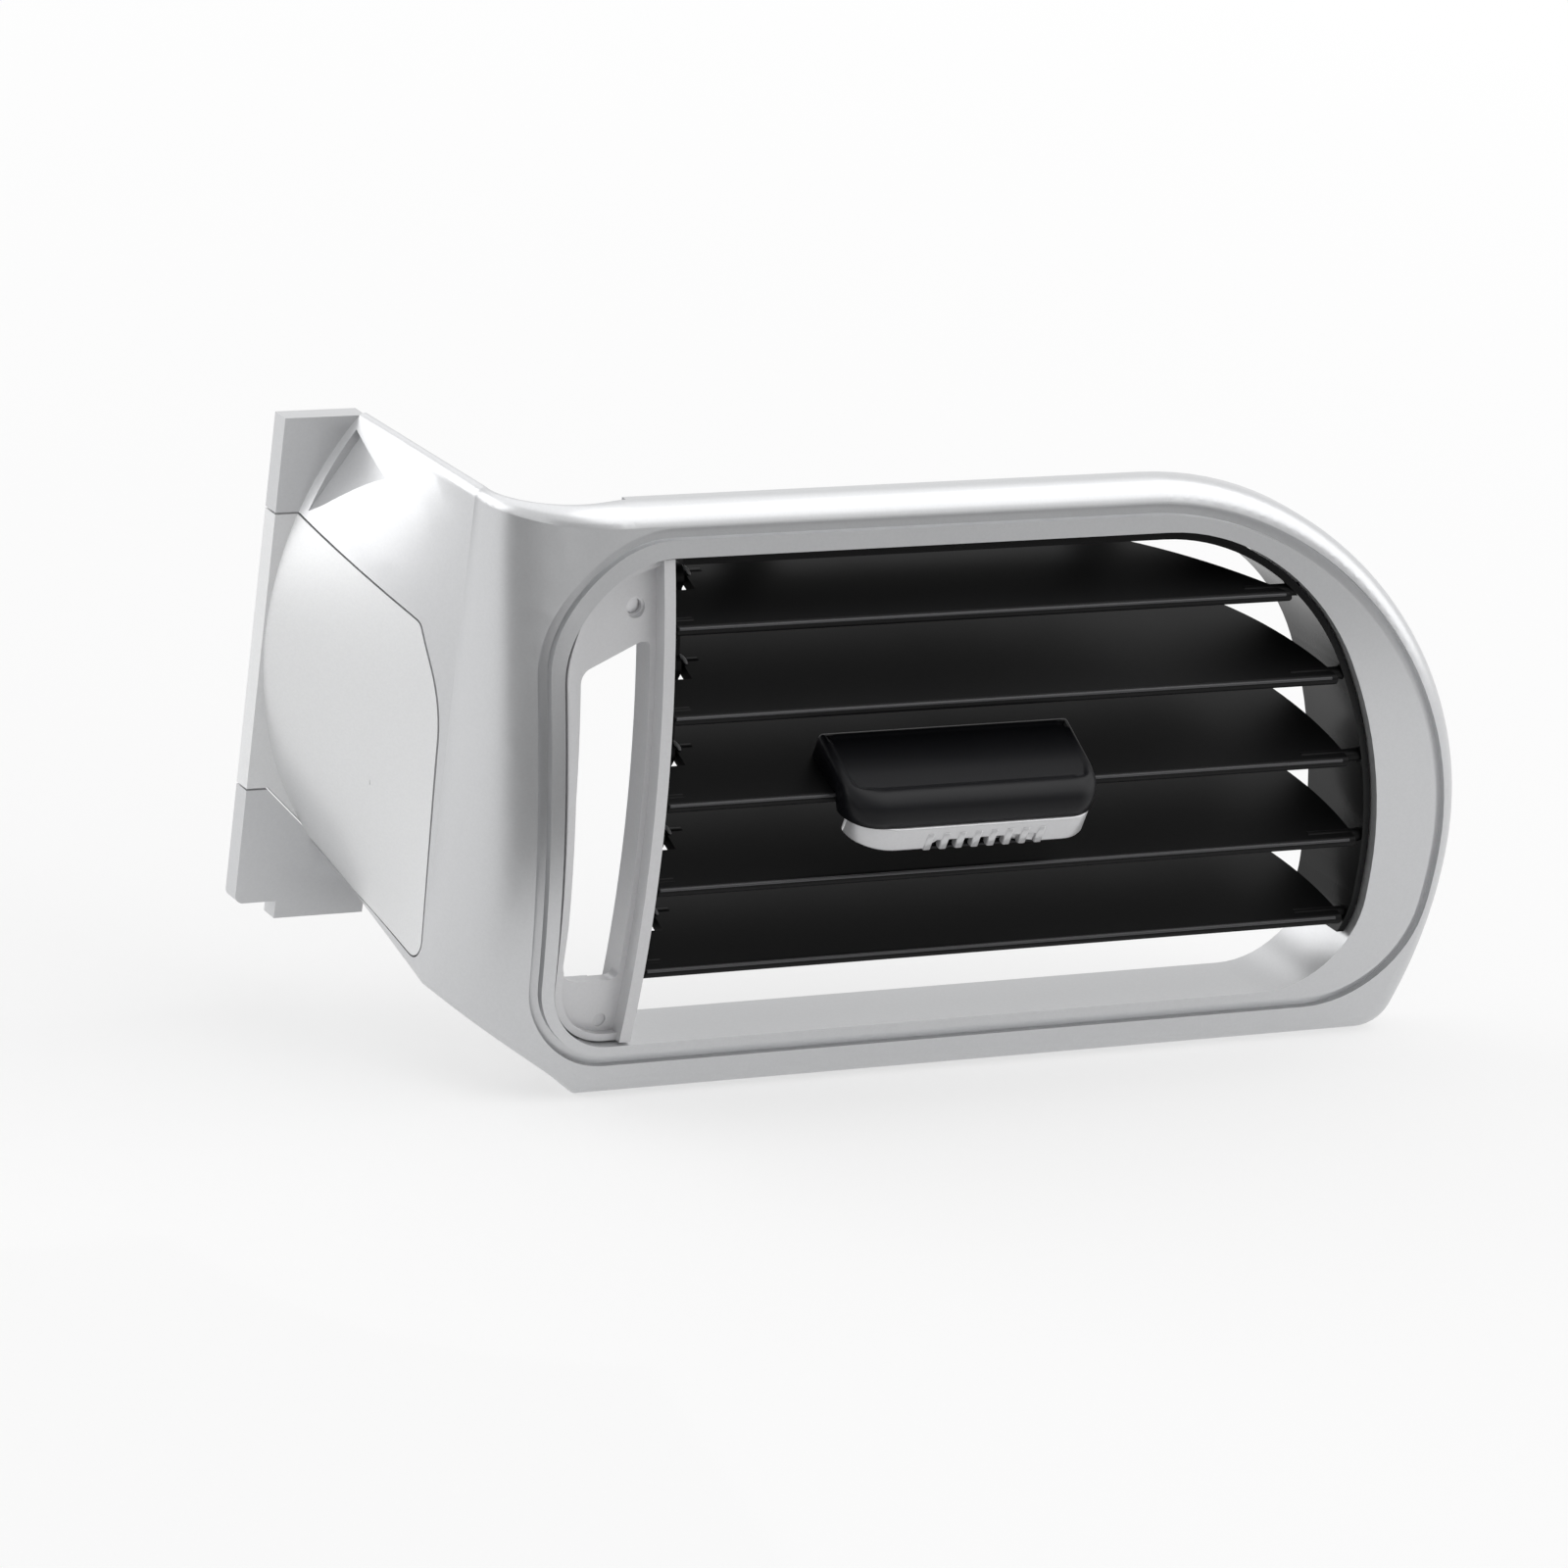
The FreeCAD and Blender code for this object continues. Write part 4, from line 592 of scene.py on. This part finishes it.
# a round tube along a curve, closed at both ends
def addTube(tree, start, path, radius):
    section = addNode(tree, "GeometryNodeCurvePrimitiveCircle", mode="RADIUS", Resolution=8)
    join(tree, start, radius, section, "Radius")
    tube = addNode(tree, "GeometryNodeCurveToMesh")
    join(tree, path, "Curve", tube, "Curve")
    join(tree, section, "Curve", tube, "Profile Curve")
    tube.inputs["Fill Caps"].default_value = True
    return tube


# upright ribs with rounded corners, along the grip's lower edge
def makeRibTree():
    tree, start, end = newTree("gripRibs", [
        ("Width", "NodeSocketFloat", 0.001),
        ("Depth", "NodeSocketFloat", 0.001),
        ("Height", "NodeSocketFloat", 0.002),
        ("Rounding", "NodeSocketFloat", 0.0003),
        ("Tilt", "NodeSocketVector", (0.0, 0.0, 0.0)),
        ("Material", "NodeSocketMaterial", None),
    ])
    outline = addNode(tree, "GeometryNodeCurvePrimitiveQuadrilateral")
    join(tree, start, "Width", outline, "Width")
    join(tree, start, "Depth", outline, "Height")
    fillet = addNode(tree, "GeometryNodeFilletCurve", mode="POLY", Count=3)
    join(tree, outline, "Curve", fillet, "Curve")
    join(tree, start, "Rounding", fillet, "Radius")
    fill = addNode(tree, "GeometryNodeFillCurve")
    join(tree, fillet, "Curve", fill, "Curve")
    grow = addNode(tree, "GeometryNodeExtrudeMesh", Individual=False)
    join(tree, fill, "Mesh", grow, "Mesh")
    join(tree, start, "Height", grow, "Offset Scale")
    back = addNode(tree, "GeometryNodeFlipFaces")
    join(tree, fill, "Mesh", back, "Mesh")
    both = addNode(tree, "GeometryNodeJoinGeometry")
    join(tree, grow, "Mesh", both, "Geometry")
    join(tree, back, "Mesh", both, "Geometry")
    weld = addNode(tree, "GeometryNodeMergeByDistance", Distance=0.000001)
    join(tree, both, "Geometry", weld, "Geometry")
    turn = addNode(tree, "GeometryNodeTransform")
    join(tree, weld, "Geometry", turn, "Geometry")
    join(tree, start, "Tilt", turn, "Rotation")
    finishTree(tree, start, end, turn, "Geometry")
    return tree


def makeGrip():
    band = makeGripBand()
    band.data.materials.append(finishes["gripSilver"])
    ribBack = gripBand["front"] + 0.5 * gripBand["ribDepth"] - gripBand["ribProud"]
    spots = [louvrePoint(louvre["middle"], firstRib + step * gripBand["ribPitch"],
                         ribBack, gripBand["bottom"])
             for step in range(gripBand["ribCount"])]
    ribs = runTree("gripRibs", makeRibTree(), {
        "Width": millimetre * gripBand["ribWidth"],
        "Depth": millimetre * gripBand["ribDepth"],
        "Height": millimetre * gripBand["ribHeight"],
        "Rounding": millimetre * gripBand["ribRound"],
        "Tilt": (math.radians(louvre["tilt"]), 0.0, 0.0),
        "Material": finishes["gripSilver"],
    }, spots)
    for piece in (band, ribs):
        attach(piece, "knob")
    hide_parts("knob_grip")


knobFoot = {
    "left": 31.8, "right": 72.0, "front": -6.2, "back": -0.5,
    "leftRound": (6.6, 5.0), "rightRound": (5.0, 4.4), "rearRound": 0.8,
    "cornerSteps": 10, "spacing": 3.0,
    "top": -5.25, "bottom": -6.0, "edge": 0.4, "bevel": 0.3,
}
knobHeel = {
    "left": 33.0, "right": 71.0, "front": -0.25, "back": 9.0,
    "leftRound": (0.8, 0.8), "rightRound": (0.8, 0.8), "rearRound": 0.8,
    "cornerSteps": 4, "spacing": 3.0,
    "top": -1.05, "lowFront": -5.6, "lowBack": -2.2,
    "edgeRings": ((0.5, 0.0), (0.15, 0.15), (0.0, 0.5)),  # inset and lift of the lower edge
}


def makeKnobFoot():
    plan = roundedPlan(knobFoot)
    bottom, edge = knobFoot["bottom"], knobFoot["edge"]
    bevel = knobFoot["bevel"] * edge
    foot = ringBody("knobFoot", [
        planRing(plan, edge, lambda x, y: bottom),
        planRing(plan, bevel, lambda x, y: bottom + bevel),
        planRing(plan, 0.0, lambda x, y: bottom + edge),
        planRing(plan, 0.0, lambda x, y: knobFoot["top"]),
    ])

    def under(y):  # the heel's slanting underside
        fall = knobHeel["lowBack"] - knobHeel["lowFront"]
        span = knobHeel["back"] - knobHeel["front"]
        return knobHeel["lowFront"] + fall * (y - knobHeel["front"]) / span

    plan = roundedPlan(knobHeel)
    rings = [planRing(plan, inset, lambda x, y, up=lift: under(y) + up)
             for inset, lift in knobHeel["edgeRings"]]
    rings.append(planRing(plan, 0.0, lambda x, y: knobHeel["top"]))
    heel = ringBody("knobHeel", rings)
    for piece in (foot, heel):
        piece.data.materials.append(finishes["knobBlack"])
        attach(piece, "knob")
    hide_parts("knob_lower")


clipCollar = {"x": 6.62, "radius": 1.55, "wire": 0.3, "sweep": 270.0, "open": -45.0}


# open collar that clips round a crank pin at the louvre's left end
def makeCollarTree():
    tree, start, end = newTree("clipCollar", [
        ("Radius", "NodeSocketFloat", 0.0016),
        ("Wire", "NodeSocketFloat", 0.0003),
        ("Sweep", "NodeSocketFloat", 4.7),
        ("Turn", "NodeSocketVector", (0.0, 1.5708, 0.0)),
        ("Material", "NodeSocketMaterial", None),
    ])
    path = addNode(tree, "GeometryNodeCurveArc", mode="RADIUS", Resolution=20)
    join(tree, start, "Radius", path, "Radius")
    join(tree, start, "Sweep", path, "Sweep Angle")
    turn = addNode(tree, "GeometryNodeTransform")
    join(tree, addTube(tree, start, path, "Wire"), "Mesh", turn, "Geometry")
    join(tree, start, "Turn", turn, "Rotation")
    finishTree(tree, start, end, turn, "Geometry")
    return tree


def makeCollars():
    tree = makeCollarTree()
    for number in range(1, louvre["count"] + 1):
        spot = louvrePoint(number, clipCollar["x"], louvre["crankBack"], 0.0)
        collar = runTree("clipCollar%d" % number, tree, {
            "Radius": millimetre * clipCollar["radius"],
            "Wire": millimetre * clipCollar["wire"],
            "Sweep": math.radians(clipCollar["sweep"]),
            "Turn": (math.radians(clipCollar["open"]), math.radians(90.0), 0.0),
            "Material": finishes["clipGrey"],
        }, [spot])
        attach(collar, "slat_%d" % number)


# bead along each louvre's front lip, in a lighter and glossier black than the louvre: a painted
# highlight line along the lip
edgeBead = {
    "left": 0.4, "rights": (107.4, 116.6, 120.0, 123.4, 123.6),
    "back": 0.3, "rise": 0.62, "radius": 0.27, "stations": 24,
}


def makeBeadTree():
    tree, start, end = newTree("edgeBead", [
        ("Length", "NodeSocketFloat", 0.1),
        ("Radius", "NodeSocketFloat", 0.0003),
        ("Stations", "NodeSocketInt", 24),
        ("Material", "NodeSocketMaterial", None),
    ])
    run = addNode(tree, "ShaderNodeCombineXYZ")
    join(tree, start, "Length", run, "X")
    path = addNode(tree, "GeometryNodeCurvePrimitiveLine", mode="POINTS")
    join(tree, run, "Vector", path, "End")
    even = addNode(tree, "GeometryNodeResampleCurve")
    join(tree, path, "Curve", even, "Curve")
    join(tree, start, "Stations", even, "Count")
    finishTree(tree, start, end, addTube(tree, start, even, "Radius"), "Mesh")
    return tree


def makeBeads():
    tree = makeBeadTree()
    for number, right in enumerate(edgeBead["rights"], 1):
        bead = runTree("edgeBead%d" % number, tree, {
            "Length": millimetre * (right - edgeBead["left"]),
            "Radius": millimetre * edgeBead["radius"],
            "Stations": edgeBead["stations"],
            # the bead's lighter finish is the painted highlight of the lip
            "Material": finishes["louvreHighlight"],
        }, [louvrePoint(number, edgeBead["left"], edgeBead["back"], edgeBead["rise"])])
        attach(bead, "slat_%d" % number)


makeCoverSkin()
makeKnobCap()
makeGrip()
makeKnobFoot()
makeCollars()
makeBeads()
print("cover, knob, grip, clip collars and edge beads made")


studio = {
    "floorSize": 6.0, "floorTone": 0.95, "floorRoughness": 0.9,
    "floorShadow": 0.45, "shadowReach": 0.75,  # past this reach the floor is plain white
    "worldLight": 0.25,
    "cardStart": (-0.005, -0.085), "cardLift": 0.001, "cardSteps": 6,
    "cards": [
        # each card glows at its tone and only reflections see it: a painted dark or grey reflection
        # on the silver
        # name, tone, bearings, near, far, height of the far edge (0 lies on the floor)
        ("darkReflectionCard", 0.02, (12.0, 90.0), 0.06, 1.3, 0.0),
        ("greyReflectionCard", 0.38, (-62.0, 20.0), 1.6, 1.6, 0.8),
    ],
    "lamps": [
        # name, position, target, size, power
        ("leftPanel", (-1.5, 0.8, 0.35), (0.0, 0.0, 0.0), 2.6, 34.0),
        ("topPanel", (0.2, 0.15, 1.5), (0.05, 0.0, 0.0), 2.4, 12.0),
        ("rightPanel", (1.3, -0.6, 1.0), (0.08, 0.0, 0.0), 2.0, 15.0),
    ],
}


# plain white to camera, glossy and transmission rays, over a share of the shader
def whiteToRays(tree, shader, share):
    path = tree.nodes.new("ShaderNodeLightPath")
    glow = addNode(tree, "ShaderNodeEmission", Color=(1, 1, 1, 1), Strength=1.0)
    seen = compute(tree, "MAXIMUM", path.outputs["Is Camera Ray"], path.outputs["Is Glossy Ray"])
    seen = compute(tree, "MAXIMUM", seen, path.outputs["Is Transmission Ray"])
    mix = tree.nodes.new("ShaderNodeMixShader")
    tree.links.new(compute(tree, "MULTIPLY", seen, share), mix.inputs[0])
    join(tree, shader, 0, mix, 1)
    join(tree, glow, "Emission", mix, 2)
    return mix


def stagePlane(name, points, faces, material):
    shape = bpy.data.meshes.new(name)
    shape.from_pydata(points, [], faces)
    plane = newObject(name, shape)
    shape.materials.append(material)
    return plane


def makeFloor():
    low = cadBox[0][2]
    half = 0.5 * studio["floorSize"]
    paper = bpy.data.materials.new("paperWhite")
    paper.use_nodes = True
    tree = paper.node_tree
    shader = tree.nodes["Principled BSDF"]
    tone = studio["floorTone"]
    shader.inputs["Base Color"].default_value = (tone, tone, tone, 1)
    shader.inputs["Roughness"].default_value = studio["floorRoughness"]
    spot = addNode(tree, "ShaderNodeTexCoord")
    scale = addNode(tree, "ShaderNodeMapping", Scale=(1.0 / studio["shadowReach"],) * 3)
    fade = addNode(tree, "ShaderNodeTexGradient", gradient_type="SPHERICAL")
    join(tree, spot, "Object", scale, "Vector")
    join(tree, scale, "Vector", fade, "Vector")
    plain = compute(tree, "MULTIPLY_ADD", fade.outputs["Fac"], -studio["floorShadow"], 1.0)
    mix = whiteToRays(tree, shader, plain)
    join(tree, mix, 0, tree.nodes["Material Output"], "Surface")
    corners = [(-half, -half, low), (half, -half, low), (half, half, low), (-half, half, low)]
    stagePlane("studioFloor", corners, [(0, 1, 2, 3)], paper)


# a glowing card that only reflections see: a painted dark or grey reflection on the silver, in
# place of the darker side of a studio
def makeCard(name, tone, bearings, near, far, height):
    low = cadBox[0][2] + studio["cardLift"]
    card = bpy.data.materials.new(name + "ReflectionGlow")
    card.use_nodes = True
    entries = card.node_tree.nodes["Principled BSDF"].inputs
    entries["Base Color"].default_value = (0.0, 0.0, 0.0, 1)
    entries["Specular IOR Level"].default_value = 0.0
    # the card's tone glows, which paints its reflection on the silver
    entries["Emission Color"].default_value = (tone, tone, tone, 1)
    entries["Emission Strength"].default_value = 1.0
    x, y = studio["cardStart"]
    steps = studio["cardSteps"]
    first, last = bearings
    points = []
    for step in range(steps + 1):
        bearing = math.radians(first + (last - first) * step / steps)
        for reach, lift in ((near, 0.0), (far, height)):
            points.append((x - reach * math.sin(bearing), y - reach * math.cos(bearing),
                           low + lift))
    faces = [(2 * step, 2 * step + 1, 2 * step + 3, 2 * step + 2) for step in range(steps)]
    plane = stagePlane(name, points, faces, card)
    plane.visible_camera = False
    plane.visible_diffuse = False
    plane.visible_shadow = False
    plane.visible_transmission = False


def makeWorld():
    world = bpy.data.worlds.new("studioWorld")
    scene.world = world
    world.use_nodes = True
    tree = world.node_tree
    tree.nodes.clear()
    end = tree.nodes.new("ShaderNodeOutputWorld")
    soft = addNode(tree, "ShaderNodeBackground", Color=(1, 1, 1, 1), Strength=studio["worldLight"])
    join(tree, whiteToRays(tree, soft, 1.0), 0, end, "Surface")


def makeLamp(name, spot, target, width, power):
    data = bpy.data.lights.new(name, "AREA")
    data.shape = "SQUARE"
    data.size = width
    data.energy = power
    lamp = newObject(name, data)
    lamp.location = spot
    lamp.rotation_euler = (Vector(target) - Vector(spot)).to_track_quat("-Z", "Y").to_euler()


makeFloor()
for cardValues in studio["cards"]:
    makeCard(*cardValues)
makeWorld()
for lampValues in studio["lamps"]:
    makeLamp(*lampValues)
scene.view_settings.view_transform = "Standard"
print("studio set")
